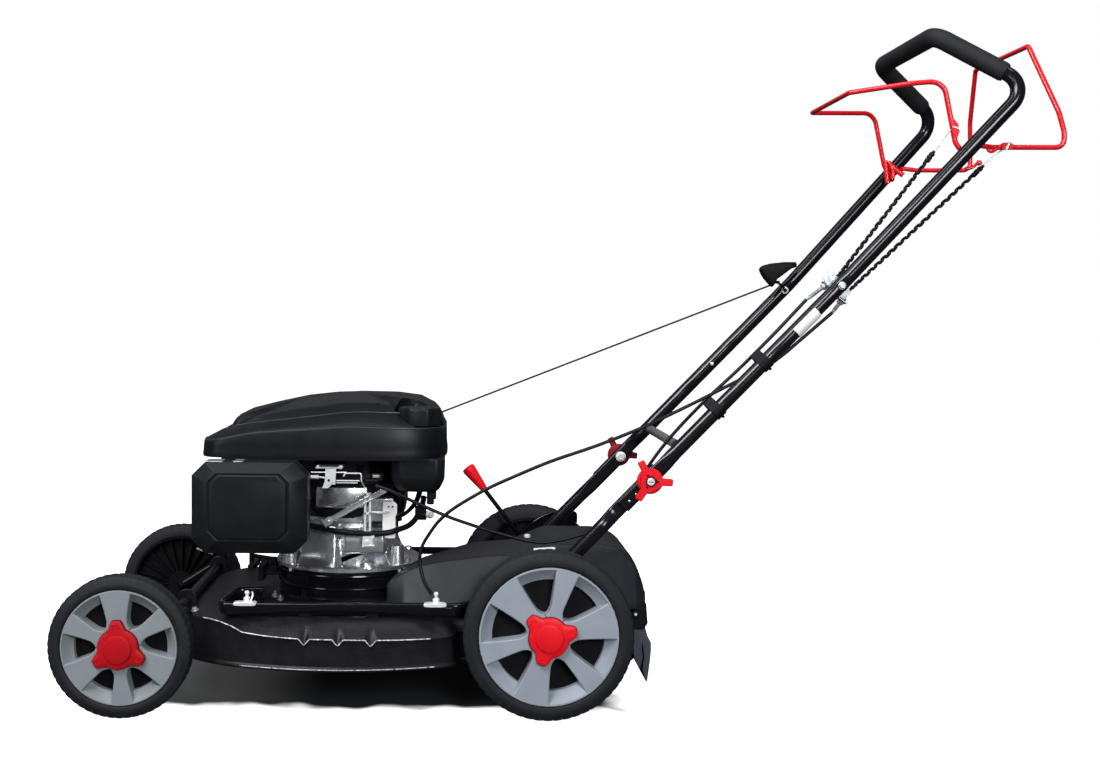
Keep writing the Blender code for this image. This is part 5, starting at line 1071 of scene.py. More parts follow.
# side block, its foot running out over the flange, and the box-like pad
bosses.append(skin([[(x, y, z) for x, y in ((-0.423 - f, -0.095 - g), (-0.39, -0.109 - g),
    (-0.362, -0.112 - g), (-0.356, -0.106 - g), (-0.356, -0.02), (-0.423 - f, -0.02))]
    for z, f, g in ((0.219, 0.01, 0.01), (0.229, 0.003, 0.003), (0.24, 0, 0), (0.292, -0.002, -0.002))],
    flat=True))
bosses.append(skin([[(x, y, z) for x, y in ((-0.352, -0.104 - g), (-0.344, -0.116 - g),
    (-0.278, -0.116 - g), (-0.27, -0.108 - g), (-0.27, -0.02), (-0.352, -0.02))] for z, g in ((0.246, 0),
    (0.25, 0.001), (0.274, 0.001), (0.286, -0.004), (0.289, -0.01))], flat=True))
arch = [(-0.35 + 0.08 * t, 0.228 + 0.02 * sin(pi * (0.15 + 0.62 * t))) for t in [k / 8 for k in range(9)]]
bosses.append(prism([(-0.35, 0.228)] + arch + [(-0.27, 0.25), (-0.35, 0.25)], -0.112, -0.04))
for k in range(7):
    ang = -158 + 22 * k
    side_v = Vector((-sin(radians(ang)), cos(radians(ang)), 0)) * 0.0022
    rib = [around_blade(r, ang, 0) + side_v * s
        for r, s in ((0.09, -1), (0.118, -1), (0.118, 1), (0.09, 1))]
    bosses.append(skin([[p + UP * z for p, z in zip(rib, row)] for row in ((0.23, 0.2205, 0.2205, 0.23),
        (0.252, 0.2235, 0.2235, 0.252))], flat=True))
bosses += [revolve((-0.305, -0.106, 0.219), UP, [(0.017, 0), (0.015, 0.006), (0.012, 0.011)], 40),
    block(-0.33, -0.262, -0.098, -0.02, 0.299, 0.34), revolve((-0.256, -0.07, 0.22), UP,
    [(0.015, 0), (0.013, 0.018), (0.01, 0.034), (0.006, 0.036)], 40), revolve((-0.444, -0.07, 0.22), UP,
    [(0.016, 0), (0.014, 0.026), (0.0105, 0.04)], 40)]
piece("crankcase_bosses", bosses, "cast", angle=24, bevel=0.0014)
plates = join(block(-0.48, -0.2623, -0.05, 0.05, 0.397, COVER_TOP),
    block(-0.5, -0.46, -0.05, 0.1692, 0.409, COVER_TOP),
    block(-0.325, -0.285, 0.04, 0.1685, 0.4085, COVER_TOP))
piece("shroud_base_plate", plates, "dark", bevel=0.0008)


def fin_comb(x0, x1, z0, z1, count, deep):
    parts = [block(x0, x1, -0.054, 0.054, z0 + deep, z1 - deep)]
    step = (x1 - x0) / count
    for k in range(count):
        a = x0 + step * k
        parts.append(block(a, a + step * 0.4, -0.056, 0.056, z0, z1))
    return join(*parts)


piece("cylinder_fins", fin_comb(-0.486, -0.4, 0.29, 0.385, 8, 0.012), "cast", bevel=0.0005)
head = join(fin_comb(-0.53, -0.4863, 0.286, 0.389, 5, 0.012),
    rod((-0.552, 0.018, 0.3375), (-0.525, 0.018, 0.3375), 0.0085, 6))
piece("head_fins", head, "cast", "cylinder_head", bevel=0.0005)

# hose round the crankcase and the sheet-metal guard behind the levers
hose = smooth([(-0.406, -0.112, 0.2935), (-0.352, -0.128, 0.286), (-0.314, -0.13, 0.2836),
    (-0.2744, -0.128, 0.2845), (-0.2541, -0.12, 0.2885), (-0.2321, -0.105, 0.2957),
    (-0.2186, -0.09, 0.3103), (-0.2119, -0.08, 0.3247), (-0.2087, -0.07, 0.34)], 8)
piece("crankcase_hose", sweep(hose, 0.005, 24), "cable")
guard = smooth([(-0.296, -0.093, 0.296), (-0.25, -0.08, 0.306), (-0.225, -0.06, 0.326),
    (-0.215, -0.04, 0.35)], 8)
piece("guard_band", sweep(guard, lambda k: (0.009, 0.002), 4, upward=UP), "dark")
body_dark = revolve(MID, UP, [(0.102, 0.3075), (0.106, 0.33), (0.106, 0.416), (0.03, 0.416)], 96)
piece("blower_housing", body_dark, "tube", angle=30)
# bright cast shoulder that shows through the housing's opening
wall = ((0.1075, 0.324), (0.109, 0.328), (0.109, 0.352), (0.107, 0.359), (0.103, 0.36), (0.103, 0.324))
shoulder = [[around_blade(r, -118 + 48 * k / 32, z) for r, z in wall] for k in range(33)]
piece("cast_shoulder", skin(shoulder, flat=True), "cast", angle=40)

# diagonal double-railed strut with a square foot
a, b = Vector((-0.367, -0.133, 0.308)), Vector((-0.274, -0.13, 0.36))
d = (b - a).normalized()
n = Vector((-d.z, 0, d.x))


def bar_along(p0, p1, off, wide, y_near, y_far):
    corners = ((off - wide, y_near), (off + wide, y_near), (off + wide, y_far), (off - wide, y_far))
    return skin([[p + n * a + Vector((0, y, 0)) for a, y in corners] for p in (p0, p1)], flat=True)


strut = [bar_along(a, b, off, 0.0011, -0.0034, 0.0034) for off in (0.0036, -0.0036)]
# the web between the rails is in a darker metal: painted shade between them
piece("strut_web_shade", bar_along(a, b, 0, 0.003, 0, 0.002), "steel")
foot_at = a - d * 0.006
strut += [bar_along(foot_at - d * 0.0065, foot_at + d * 0.0065, 0, 0.0062, -0.004, 0.004),
    bar_along(foot_at - d * 0.0085, foot_at - d * 0.0065, 0, 0.008, -0.003, 0.004),
    hex_bolt(foot_at + Vector((0, -0.0042, 0)), NEAR, 0.0034, 0.0024)]
piece("engine_strut", strut, "cast", bevel=0.0006)

# throttle: bracket, screw, rods, spring and fittings
ctl = [prism([(-0.376, 0.372), (-0.3575, 0.372), (-0.3565, 0.3985), (-0.3745, 0.3985)], -0.1605, -0.159),
    prism([(-0.38, 0.3655), (-0.37, 0.3655), (-0.36, 0.376), (-0.376, 0.376)], -0.16, -0.158),
    rod((-0.399, -0.158, 0.3925), (-0.339, -0.158, 0.3925), 0.0011, 12),
    rod((-0.357, -0.156, 0.3782), (-0.317, -0.156, 0.3782), 0.0011, 12),
    rod((-0.357, -0.156, 0.3745), (-0.32, -0.156, 0.3745), 0.0008, 12)]
for k in range(6):
    x = -0.3995 + 0.0024 * k
    ctl.append(revolve((x, -0.16, 0.3845), (1, 0, 0), [(0.0028, 0), (0.0036, 0.0006), (0.0036, 0.0014),
        (0.0028, 0.002)], 16))
ctl += [rod((-0.385, -0.16, 0.3845), (-0.376, -0.16, 0.3835), 0.0013, 12),
    hex_bolt((-0.388, -0.15, 0.4015), NEAR, 0.003, 0.003),
    hex_bolt((-0.35, -0.15, 0.4005), NEAR, 0.004, 0.003)]
piece("throttle_controls", ctl, "zinc", "control_bracket", bevel=0.0002)
piece("throttle_top_plate", block(-0.392, -0.346, -0.1575, -0.0498, 0.399, 0.401), "zinc")
# a dark disc in the bracket's opening: painted shade
hole_shade = revolve((-0.369, -0.1606, 0.379), NEAR, [(0.0022, 0), (0.0022, 0.0003)], 16)
piece("throttle_hole_shade", hole_shade, "dark")
bent = fillet([(-0.344, -0.159, 0.386), (-0.341, -0.159, 0.3912), (-0.314, -0.159, 0.3912),
    (-0.3136, -0.159, 0.378), (-0.309, -0.145, 0.366)], [0.003, 0.0035, 0.004], 6)
piece("throttle_bent_rod", sweep(bent, 0.0012, 14), "zinc")
fit = [revolve((-0.304, -0.16, 0.385), NEAR, [(0.0065, 0), (0.006, 0.003), (0.003, 0.004)], 24),
    revolve((-0.306, -0.162, 0.392), NEAR, [(0.0034, 0), (0.003, 0.002)], 16),
    block(-0.296, -0.278, -0.164, -0.158, 0.38, 0.3915),
    rod((-0.306, -0.164, 0.379), (-0.286, -0.164, 0.379), 0.0035, 16)]
piece("cable_fittings", fit, "dark", bevel=0.0005)
piece("cable_ferrule", block(-0.294, -0.283, -0.165, -0.164, 0.385, 0.3895), "steel", bevel=0.0003)

# governor lever, the brake's pin and its plate
GOV_X, GOV_Z = -0.3045, 0.2685
gov = [block(GOV_X + x0, GOV_X + x1, -0.1322, -0.13, GOV_Z + z0, GOV_Z + z1)
    for x0, x1, z0, z1 in ((-0.006, -0.0022, 0.012, 0.085), (0.0022, 0.006, 0.012, 0.085),
    (-0.006, 0.006, 0.08, 0.086), (-0.006, 0.006, 0.012, 0.02), (-0.006, 0.006, 0.048, 0.052))]
gov.append(prism([(GOV_X + x, GOV_Z + z) for x, z in ((-0.0095, -0.008), (0.0095, -0.008), (0.0075, 0.01),
    (0.006, 0.016), (-0.006, 0.016), (-0.008, 0.01))], -0.133, -0.13))
gov.append(hex_bolt((GOV_X - 0.001, -0.133, GOV_Z + 0.001), NEAR, 0.0042, 0.0035))
gov.append(rod((GOV_X - 0.004, -0.1345, GOV_Z - 0.005), (GOV_X + 0.013, -0.1345, GOV_Z - 0.005), 0.0014,
    12))
gov.append(revolve((GOV_X + 0.0095, -0.133, GOV_Z + 0.011), NEAR,
    [(0.003, 0), (0.003, 0.0012), (0.0018, 0.0012), (0.0018, 0.0002)], 20))
piece("governor_look", gov, "zinc", "governor_lever", "governor_lever", bevel=0.0003)
link = [rod((-0.298, -0.1268, 0.3205), (-0.284, -0.124, 0.32), 0.0014, 12),
    rod((-0.288, -0.124, 0.319), (-0.268, -0.115, 0.319), 0.0022, 12)]
piece("brake_pin", link, "zinc")
PLATE_Y = -0.1135
brake = prism([(-0.28, 0.2742), (-0.2785, 0.2727), (-0.2585, 0.2727), (-0.257, 0.2742), (-0.257, 0.311),
    (-0.2545, 0.317), (-0.2545, 0.332), (-0.259, 0.3362), (-0.279, 0.3362)], PLATE_Y, -0.1112)
brake = join(brake, block(-0.2785, -0.2595, -0.112, -0.0984, 0.332, 0.3355))
piece("brake_plate_look", brake, "plate", "brake_plate", bevel=0.0004)
# dark discs in the plate's openings: painted shade
hole_shades = [revolve((x, PLATE_Y - 0.0001, z), NEAR, [(r, 0), (r, 0.0003)], sides)
    for x, z, r, sides in ((-0.2682, 0.2836, 0.0034, 20), (-0.2692, 0.328, 0.0017, 16),
    (-0.2622, 0.328, 0.0017, 16))]
piece("brake_hole_shades", hole_shades, "dark")
fit2 = [revolve((-0.215, -0.09, 0.311), (1, 0, 0), [(0.006, 0), (0.006, 0.012), (0.0045, 0.016)], 20),
    block(-0.224, -0.204, -0.094, -0.08, 0.302, 0.326)]
piece("rear_fittings", fit2, "dark", bevel=0.0006)
piece("rear_hex", hex_bolt((-0.1975, -0.096, 0.3127), (0.3, -1, 0), 0.0058, 0.005, 0.0076), "zinc")
carb = [block(-0.474, -0.426, -0.1395, -0.085, 0.33, 0.374),
    rod((INLET_X, -0.112, 0.3), (INLET_X, -0.112, 0.332), 0.021, 40),
    rod((INLET_X, -0.09, INLET_Z), (INLET_X, -0.0563, INLET_Z), 0.015, 32)]
piece("carburettor_look", carb, "cast", "carburettor", bevel=0.0015)

# mounting ring with two beads and an access panel's outline
DECK_FACE, DRUM_R, INNER_R = 0.1603, 0.125, 0.108
ring_look = revolve(MID, UP, [(INNER_R, DECK_FACE), (0.13, DECK_FACE), (0.13, 0.1622), (0.1262, 0.166),
    (DRUM_R, 0.172), (DRUM_R, 0.181), (0.1268, 0.1822), (0.1272, 0.184), (0.1268, 0.1858), (DRUM_R, 0.187),
    (DRUM_R, 0.203), (0.1266, 0.2042), (0.127, 0.206), (0.1264, 0.208), (DRUM_R, 0.209), (DRUM_R, 0.2135),
    (INNER_R, 0.2135)], 128, closed=True)
piece("mount_ring_look", ring_look, "rail", "mount_ring", angle=24)
panel = [around_blade(0.1256, -124 + k, 0.206 - (0.004 if k > 30 else 0)) for k in range(33)]
panel += [around_blade(0.1256, -92, z) for z in (0.198, 0.19, 0.184)]
piece("ring_seam", sweep(panel, 0.0009, 8, upward=(0, 0.2, 1)), "rail")
studs = []
for x, y, z, h in ((-0.466, -0.108, 0.168, 0.011), (-0.456, -0.115, 0.164, 0.009),
        (-0.21, 0.095, 0.16, 0.012)):
    studs += [hex_bolt((x, y, z), UP, 0.005, 0.005, 0.0062), rod((x, y, z), (x, y, z + h), 0.0022, 16)]
studs += [hex_bolt(around_blade(0.122, ang, 0.2222), UP, 0.006, 0.0055, 0.0075)
    for ang in (-150, -28, 30, 150)]
piece("ring_bolts", studs, "steel")
under_bolts = [rod(around_blade(0.127, ang, FLANGE_FOOT), around_blade(0.127, ang, 0.2085), 0.0028, 12)
    for ang in (-36, -42, -140)]
piece("flange_bolts", under_bolts, "zinc")
BRACKET_TOP = 0.196
bracket = [block(-0.498, -0.44, -0.03, 0.03, 0.19, BRACKET_TOP),
    block(-0.506, -0.496, -0.035, 0.035, 0.18, 0.206), revolve((-0.476, -0.02, BRACKET_TOP), UP,
    [(0.006, 0), (0.006, 0.006), (0.003, 0.008), (0.003, 0.014)], 16),
    revolve((-0.462, -0.025, BRACKET_TOP), UP, [(0.006, 0), (0.006, 0.006), (0.003, 0.008), (0.003, 0.016)],
    16)]
piece("front_bracket", bracket, "dark", bevel=0.0008)
piece("dip_look", revolve((-0.268, 0.088, 0), UP, [(0.009, 0.2303), (0.009, 0.27), (0.0155, 0.272),
    (0.0155, 0.284), (0.012, 0.287)], 40), "dark", "dipstick", "dipstick")
piece("filler_boss", rod((-0.268, 0.088, 0.218), (-0.268, 0.088, 0.23), 0.013, 32), "cast")


# stamped deck: skirt with a bottom bead, a crease with three notches and a rolled shoulder
DECK_HALF_W, DECK_BOTTOM, DECK_TOP, SHEET = 0.27, 0.0795, 0.16, 0.0026


def closed_curve(points, per):
    pts = [Vector((x, y, 0)) for x, y in points]
    pts = pts[-1:] + pts + pts[:2]
    out = [between(*pts[k - 1:k + 3], m / per) for k in range(1, len(pts) - 2) for m in range(per)]
    return [(p.x, p.y) for p in out]


def inset(loop, d):
    count = len(loop)
    area = sum(loop[i][0] * loop[(i + 1) % count][1] - loop[(i + 1) % count][0] * loop[i][1]
        for i in range(count))
    turn_by = 1.0 if area > 0 else -1.0
    out = []
    for i in range(count):
        a, c = loop[i - 1], loop[(i + 1) % count]
        t = Vector((c[0] - a[0], c[1] - a[1])).normalized()
        out.append((loop[i][0] - t.y * turn_by * d, loop[i][1] + t.x * turn_by * d))
    return out


half = [(-0.64, 0), (-0.64, 0.055), (-0.635, 0.11), (-0.616, 0.16), (-0.583, 0.2)]
for k in range(9):
    dx = -0.185 + 0.37 * k / 8
    half.append((BLADE_X + dx, DECK_HALF_W - 1.05 * dx * dx))
half += [(-0.14, 0.203), (-0.06, 0.203), (0.03, 0.203), (0.11, 0.203), (0.14, 0.19), (0.152, 0.16),
    (0.1555, 0.08), (0.156, 0)]
plan = closed_curve(half + [(x, -y) for x, y in reversed(half[1:-1])], 18)
crease_z = table_curve([(-0.64, 0.148), (-0.585, 0.1535), (-0.561, 0.1545), (-0.541, 0.1525),
    (-0.521, 0.1475), (-0.502, 0.1388), (-0.476, 0.1363), (-0.449, 0.1347), (-0.408, 0.1335),
    (-0.344, 0.1333), (-0.259, 0.1315), (-0.197, 0.1303), (-0.15, 0.132), (-0.12, 0.135), (0.16, 0.135)])


def notch(x):
    return max(1 - abs(x - at) / 0.009 for at in (-0.3984, -0.3435, -0.29)) if -0.41 < x < -0.28 else 0.0


def deck_row(d, low, share):
    """share 0 stays at the height low, 1 follows the crease, above 1 runs on towards the top."""
    out = []
    for (x, y), (x0, y0) in zip(inset(plan, d), plan):
        c = crease_z(x0) - (0.0108 * max(0, notch(x0)) * ease(0.45, 0.95, share) if abs(y0) > 0.24 else 0.0)
        if share <= 1:
            z = low + (c - low) * share
        else:
            c = c + (crease_z(x0) - c) * min(1.0, (share - 1) * 1.4)
            z = c + (DECK_TOP - c) * sin((share - 1) * pi / 2) ** 1.15
        out.append(Vector((x, y, z)))
    return out


over = [deck_row(d, DECK_BOTTOM + rise, share) for d, rise, share in ((0.0026, 0, 0), (0.0004, 0, 0),
    (-0.0016, 0.0008, 0), (-0.0028, 0.0024, 0), (-0.003, 0.004, 0), (-0.0024, 0.006, 0),
    (-0.001, 0.0076, 0), (0, 0.0088, 0), (0.0006, 0, 0.4), (0.0012, 0, 0.75), (0.0012, 0, 0.92),
    (0.0004, 0, 0.975), (0.0004, 0, 1.0), (0.0016, 0, 1.04))]
over += [deck_row(0.0016 + 0.0384 * (k / 12) ** 1.05, 0, 1.04 + 0.96 * (k / 12)) for k in range(1, 13)]
over += [deck_row(d, 0, 2.0) for d in (0.044, 0.048)]
under_rows = [[p - UP * SHEET for p in deck_row(d, 0, 2.0)] for d in (0.046, 0.04)]
under_rows += [deck_row(d, DECK_BOTTOM, share) for d, share in ((0.004, 1.0), (0.003, 0.5), (0.0026, 0))]
deck_bm = join(skin(over, start=False), skin(under_rows, end=False))
piece("deck_shell", deck_bm, "deck", "deck", angle=36)
# speckled light lines along the deck's crease and bottom bead: painted glints
glints = []
for row, size, x0, x1 in ((deck_row(-0.0002, DECK_BOTTOM, 1.0), 0.001, -0.575, -0.19),
        (deck_row(-0.003, DECK_BOTTOM + 0.0046, 0), 0.0008, -0.505, -0.185)):
    line = [p for p in row if p.y < -0.2 and x0 < p.x < x1]
    line.sort(key=lambda p: p.x)
    glints.append(sweep(line, size, 8, upward=UP))
piece("deck_painted_glints", glints, "painted_glint")

PIVOT_DX, PIVOT_DZ = 0.087, 0.055
FRONT_PIVOT = (-WHEEL_BASE + PIVOT_DX, FRONT_R + PIVOT_DZ)
REAR_PIVOT = (PIVOT_DX, REAR_R + PIVOT_DZ)
FOOT_TOP, HEEL, EAR_T = 0.198, DECK_TOP - 0.002, 0.004
parts = []
for (px, pz), y_in in ((FRONT_PIVOT, 0.15), (REAR_PIVOT, 0.1615)):
    arc = [(px + 0.016 * cos(a), pz + 0.003 + 0.0145 * sin(a))
        for a in [pi * (1 - k / 16) for k in range(17)]]
    ear = [(px - 0.018, HEEL)] + arc + [(px + 0.018, HEEL)]
    parts += [prism(ear, *sorted((s * y_in, s * (y_in + EAR_T)))) for s in (-1, 1)]
foot = [(FOOT_X - 0.03, HEEL), (FOOT_X - 0.022, FOOT_TOP + 0.02), (FOOT_X + 0.03, FOOT_TOP + 0.026),
    (FOOT_X + 0.034, HEEL)]
parts += [prism(foot, *sorted((s * 0.1615, s * 0.1655))) for s in (-1, 1)]
parts += [block(-0.556, -0.544, 0.17, 0.268, 0.154, 0.168), block(-0.346, -0.334, 0.2, 0.268, 0.154, 0.168),
    block(0.142, 0.1582, -0.15, 0.15, 0.14, 0.15)]
# raised platform under the engine
parts.append(slab([(-0.5, -0.19), (-0.215, -0.19), (-0.196, -0.176), (-0.196, 0.17), (-0.5, 0.17),
    (-0.515, 0.15), (-0.515, -0.17)], 0.156, 0.1632))
piece("deck_plates", parts, "deck", angle=30, bevel=0.0012)
arch = smooth([(-0.019, 0, 0.2277), (-0.0021, 0, 0.2453), (0.0236, 0, 0.263), (0.0585, 0, 0.2743),
    (0.08, 0, 0.2725), (0.0889, 0, 0.268), (0.0895, 0, 0.25)], 8)
outline = [(p.x, p.z) for p in arch]
quad = prism(outline + [(0.0895, 0.15), (-0.019, 0.15)], 0.213, 0.216)
quad = join(quad, sweep([Vector((x, 0.2122, z)) for x, z in outline], 0.0022, 12))
piece("height_quadrant", quad, "rail", angle=30)
HINGE_X0, HINGE_X1, HINGE_NEAR, HINGE_FAR = -0.559, -0.505, 0.2095, 0.222
hinge = [block(HINGE_X0, HINGE_X1, HINGE_NEAR, HINGE_FAR, DECK_TOP, 0.164),
    block(HINGE_X0, -0.55, HINGE_NEAR, HINGE_FAR, DECK_TOP, 0.185), block(-0.516, HINGE_X1, HINGE_NEAR,
    HINGE_FAR, DECK_TOP, 0.176), rod((HINGE_X0, 0.2145, 0.18), (HINGE_X1, 0.2145, 0.172), 0.004, 16)]
piece("chute_hinge", hinge, "dark", bevel=0.0008)

# nut on the front of the deck
piece("deck_nuts", hex_bolt((-0.593, -0.17, 0.157), (-0.15, -0.25, 1), 0.0048, 0.0042, 0.0066),
    "grey_metal")

# frame rail along the left edge, with its clamps
RAIL_Y, RAIL_Z = -0.2245, 0.1735
GLEAM_X0, GLEAM_LONG = -0.521, 0.362
rail = fillet([(-0.478, -0.16, RAIL_Z + 0.011), (-0.524, -0.16, RAIL_Z + 0.011), (-0.5415, RAIL_Y, RAIL_Z),
    (-0.15, RAIL_Y, RAIL_Z), (-0.112, -0.2, RAIL_Z + 0.004)], [0.02, 0.01, 0.02], 14)
dense = []
for p, q in zip(rail, rail[1:]):
    steps = max(1, int((q - p).length / 0.012))
    dense += [p.lerp(q, k / steps) for k in range(steps)]
dense.append(rail[-1])
piece("side_rail_look", sweep(dense, lambda k: (0.0062, 0.0118, 0.7), 48, upward=UP), "rail", "side_rail",
    angle=40)
# a thin yellowish light line along the rail's top: painted highlight
piece("rail_painted_gleam", sweep([Vector((GLEAM_X0 + GLEAM_LONG * k / 40, RAIL_Y - 0.0066,
    RAIL_Z + 0.0066 - 0.0016 * k / 40)) for k in range(41)], 0.001, 8, upward=UP), "painted_gleam")
pads = [block(x0, x1, RAIL_Y - 0.004, RAIL_Y + 0.004, DECK_TOP - 0.004, RAIL_Z - 0.006)
    for x0, x1 in ((-0.41, -0.39), (-0.3, -0.28))]
piece("rail_pads", pads, "rail")
CLAMP_Y = -0.223
clamps = []
for x in (-0.4985, -0.186):
    bar = []
    for a in [TAU * k / 32 for k in range(32)]:
        bar.append((x + copysign(abs(cos(a)) ** 0.5, cos(a)) * 0.0188,
            0.1843 + copysign(abs(sin(a)) ** 0.7, sin(a)) * 0.003))
    at = x + 0.0016
    clamps += [prism(bar, -0.242, -0.226), rod((at, CLAMP_Y, 0.186), (at, CLAMP_Y, 0.203), 0.0028, 20),
        revolve((at, CLAMP_Y, 0.187), UP, [(0.006, 0), (0.006, 0.0045), (0.005, 0.0055)], 6),
        revolve((at, CLAMP_Y, 0.198), UP, [(0.004, 0), (0.004, 0.003), (0.002, 0.005)], 20)]
piece("rail_clamps", clamps, "zinc", bevel=0.0004)
piece("clamp_clip", sweep(smooth([(-0.49, -0.23, 0.186), (-0.487, -0.226, 0.196), (-0.489, -0.22, 0.2)], 8),
    0.0016, 12), "zinc")

# belt cover: sloping lid that falls away to the right, a wide facet along each side and a raised block behind
near_top = table_curve([(-0.27, 0.196), (-0.2556, 0.2102), (-0.2381, 0.2208), (-0.2148, 0.2314),
    (-0.1764, 0.2396), (-0.1382, 0.2445), (-0.0912, 0.2502), (-0.0381, 0.2527), (0.025, 0.257),
    (0.0828, 0.2594), (0.11, 0.258), (0.1361, 0.2521), (0.15, 0.24), (0.1598, 0.2239), (0.168, 0.204),
    (0.176, 0.188), (0.185, 0.174)])
mid_top = table_curve([(-0.27, 0.195), (-0.24, 0.208), (-0.2083, 0.22), (-0.1834, 0.2276),
    (-0.1676, 0.2323), (-0.1458, 0.24), (-0.1237, 0.2462), (-0.0988, 0.249), (-0.0486, 0.2535),
    (0.02, 0.2565), (0.1, 0.259), (0.13, 0.254), (0.15, 0.242), (0.162, 0.225), (0.174, 0.2),
    (0.181, 0.185), (0.185, 0.174)])
half_plan = table_curve([(-0.27, 0.148), (-0.2685, 0.151), (-0.24, 0.184), (-0.19, 0.192), (-0.12, 0.19),
    (-0.07, 0.176), (-0.045, 0.1575), (0.07, 0.1575), (0.12, 0.156), (0.16, 0.148), (0.175, 0.132),
    (0.182, 0.1), (0.185, 0.06)])
LID_FOOT, LID_SIDE = DECK_FACE, 0.166


def lid_height(x, y):
    if y < 0:
        return near_top(x) + (mid_top(x) - near_top(x)) * ease(-0.15, 0, y)
    return mid_top(x) - 0.2 * y


def lid_section(x):
    """Outline of the lid across the mower: up one facet, over the top and down the other."""
    w = half_plan(x)
    shoulder = min(0.15, w - 0.0032)
    near, far = near_top(x), lid_height(x, shoulder)

    def facet(s, shares):
        return [(s * (w - (w - shoulder) * t), LID_SIDE + (top - 0.0022 - LID_SIDE) * t) for t in shares]
    top = near
    out = [(-w + 0.002, LID_FOOT), (-w, LID_FOOT), (-w, LID_SIDE)] + facet(-1, (0.25, 0.5, 0.75, 0.93))
    out += [(-shoulder, near - 0.001), (-shoulder + 0.003, near - 0.0002)]
    for y in [-shoulder + 0.003 + (2 * shoulder - 0.006) * k / 20 for k in range(1, 20)]:
        out.append((y, lid_height(x, y)))
    top = far
    out += [(shoulder - 0.003, far + 0.0004), (shoulder, far - 0.0006)] + facet(1, (0.93, 0.75, 0.5, 0.25))
    out += [(w, LID_SIDE), (w, LID_FOOT), (w - 0.002, LID_FOOT)]
    return [(x, y, z) for y, z in out]


LID_X0, LID_LONG = -0.27, 0.455
stations = [LID_X0 + LID_LONG * (0.5 - 0.5 * cos(pi * k / 110)) for k in range(111)]
cover = piece("belt_cover_look", skin([lid_section(x) for x in stations], flat=True), "cover", "belt_cover",
    angle=24)
cut_with(cover, "ring_space", rod((BLADE_X, 0, 0.14), (BLADE_X, 0, 0.32), 0.1345, 96))
block_top = table_curve([(-0.034, 0.243), (-0.018, 0.249), (0.002, 0.2585), (0.012, 0.2625), (0.02, 0.2638),
    (0.104, 0.264), (0.1277, 0.26), (0.1434, 0.2525), (0.156, 0.242), (0.165, 0.227), (0.174, 0.204),
    (0.18, 0.186), (0.1848, 0.168)])
BLOCK_X0, BLOCK_LONG, BLOCK_FOOT, ROUND = -0.034, 0.2188, 0.164, 0.016
raised = []
for k in range(61):
    x = BLOCK_X0 + BLOCK_LONG * k / 60
    w = min(0.108, half_plan(x) - 0.004)
    top = block_top(x)
    foot = max(BLOCK_FOOT, min(top, lid_height(x, -w)) - 0.004)
    foot_far = max(BLOCK_FOOT, min(top, lid_height(x, w)) - 0.004)
    ring = [(-w, foot), (-w + 0.006, top - 0.004), (-w + 0.011, top - 0.0008), (-w + ROUND, top)]
    ring += [(-w + ROUND + (2 * w - 0.032) * m / 8, top) for m in range(1, 8)]
    ring += [(w - ROUND, top), (w - 0.011, top - 0.0008), (w - 0.006, top - 0.004), (w, foot_far)]
    raised.append([(x, y, z) for y, z in ring])
piece("cover_block", skin(raised, flat=True), "cover", angle=30)
bare = skin([[(x, y, lid_height(x, y) + up_by) for x, y in ((-0.018, -0.143), (0.019, -0.143),
    (0.0205, -0.112), (-0.0165, -0.112))] for up_by in (0.001, 0.0032)], flat=True)
piece("cover_bare_plate", bare, "plate")
piece("cover_stud", revolve((-0.019, 0.03, 0.253), UP, [(0.006, -0.001), (0.006, 0.003), (0.004, 0.0045)],
    20), "zinc")

# rear flap with its hinge ears
prof = [(0.1585, 0.15), (0.1596, 0.154), (0.162, 0.156), (0.165, 0.1548), (0.1668, 0.15), (0.168, 0.138),
    (0.1725, 0.124), (0.1776, 0.115), (0.178, 0.102), (0.1768, 0.085), (0.1745, 0.066), (0.1722, 0.0485),
    (0.1715, 0.0478), (0.169, 0.05), (0.164, 0.07), (0.1668, 0.09), (0.164, 0.108), (0.161, 0.12),
    (0.159, 0.135)]
piece("rear_flap_look", prism(prof, -0.198, 0.198), "flap", "rear_flap", "rear_flap", angle=30,
    bevel=0.0005)
front_leaf = [(0.144, 0.148), (0.159, 0.148), (0.164, 0.13), (0.162, 0.106), (0.164, 0.09), (0.16, 0.07),
    (0.154, 0.079), (0.149, 0.092), (0.147, 0.12)]
piece("inner_leaf", prism(front_leaf, -0.199, -0.196), "flap", body="rear_flap", bevel=0.0005)
ear = [(0.141, 0.156), (0.16, 0.188), (0.168, 0.182), (0.171, 0.148), (0.164, 0.138), (0.146, 0.138)]
EAR_IN, EAR_OUT = 0.1995, 0.202
piece("hinge_ear", [prism(ear, -EAR_OUT, -EAR_IN), prism(ear, EAR_IN, EAR_OUT)], "dark", bevel=0.0006)
piece("hinge_screw", revolve((0.15, -EAR_OUT, 0.164), NEAR, [(0.0062, 0), (0.0058, 0.0022)], 24), "dark")
piece("hinge_pin", revolve((0.15, -0.2042, 0.164), NEAR, [(0.0026, 0), (0.0022, 0.0014)], 20), "zinc")

# side discharge flap on the right
SIDE_Y, SIDE_Z = 0.264, 0.162
prof = [(SIDE_Y - 0.004, SIDE_Z + 0.003), (SIDE_Y + 0.003, SIDE_Z + 0.004),
    (SIDE_Y + 0.009, SIDE_Z - 0.006), (0.2845, 0.12), (0.2845, 0.092), (0.2815, 0.092), (0.2812, 0.119),
    (SIDE_Y + 0.0045, SIDE_Z - 0.006), (SIDE_Y - 0.002, SIDE_Z - 0.004)]
piece("side_flap_look", skin([[(x, y, z) for y, z in prof] for x in (-0.5437, -0.3463)], flat=True), "flap",
    "side_flap", "side_flap", angle=30, bevel=0.0008)

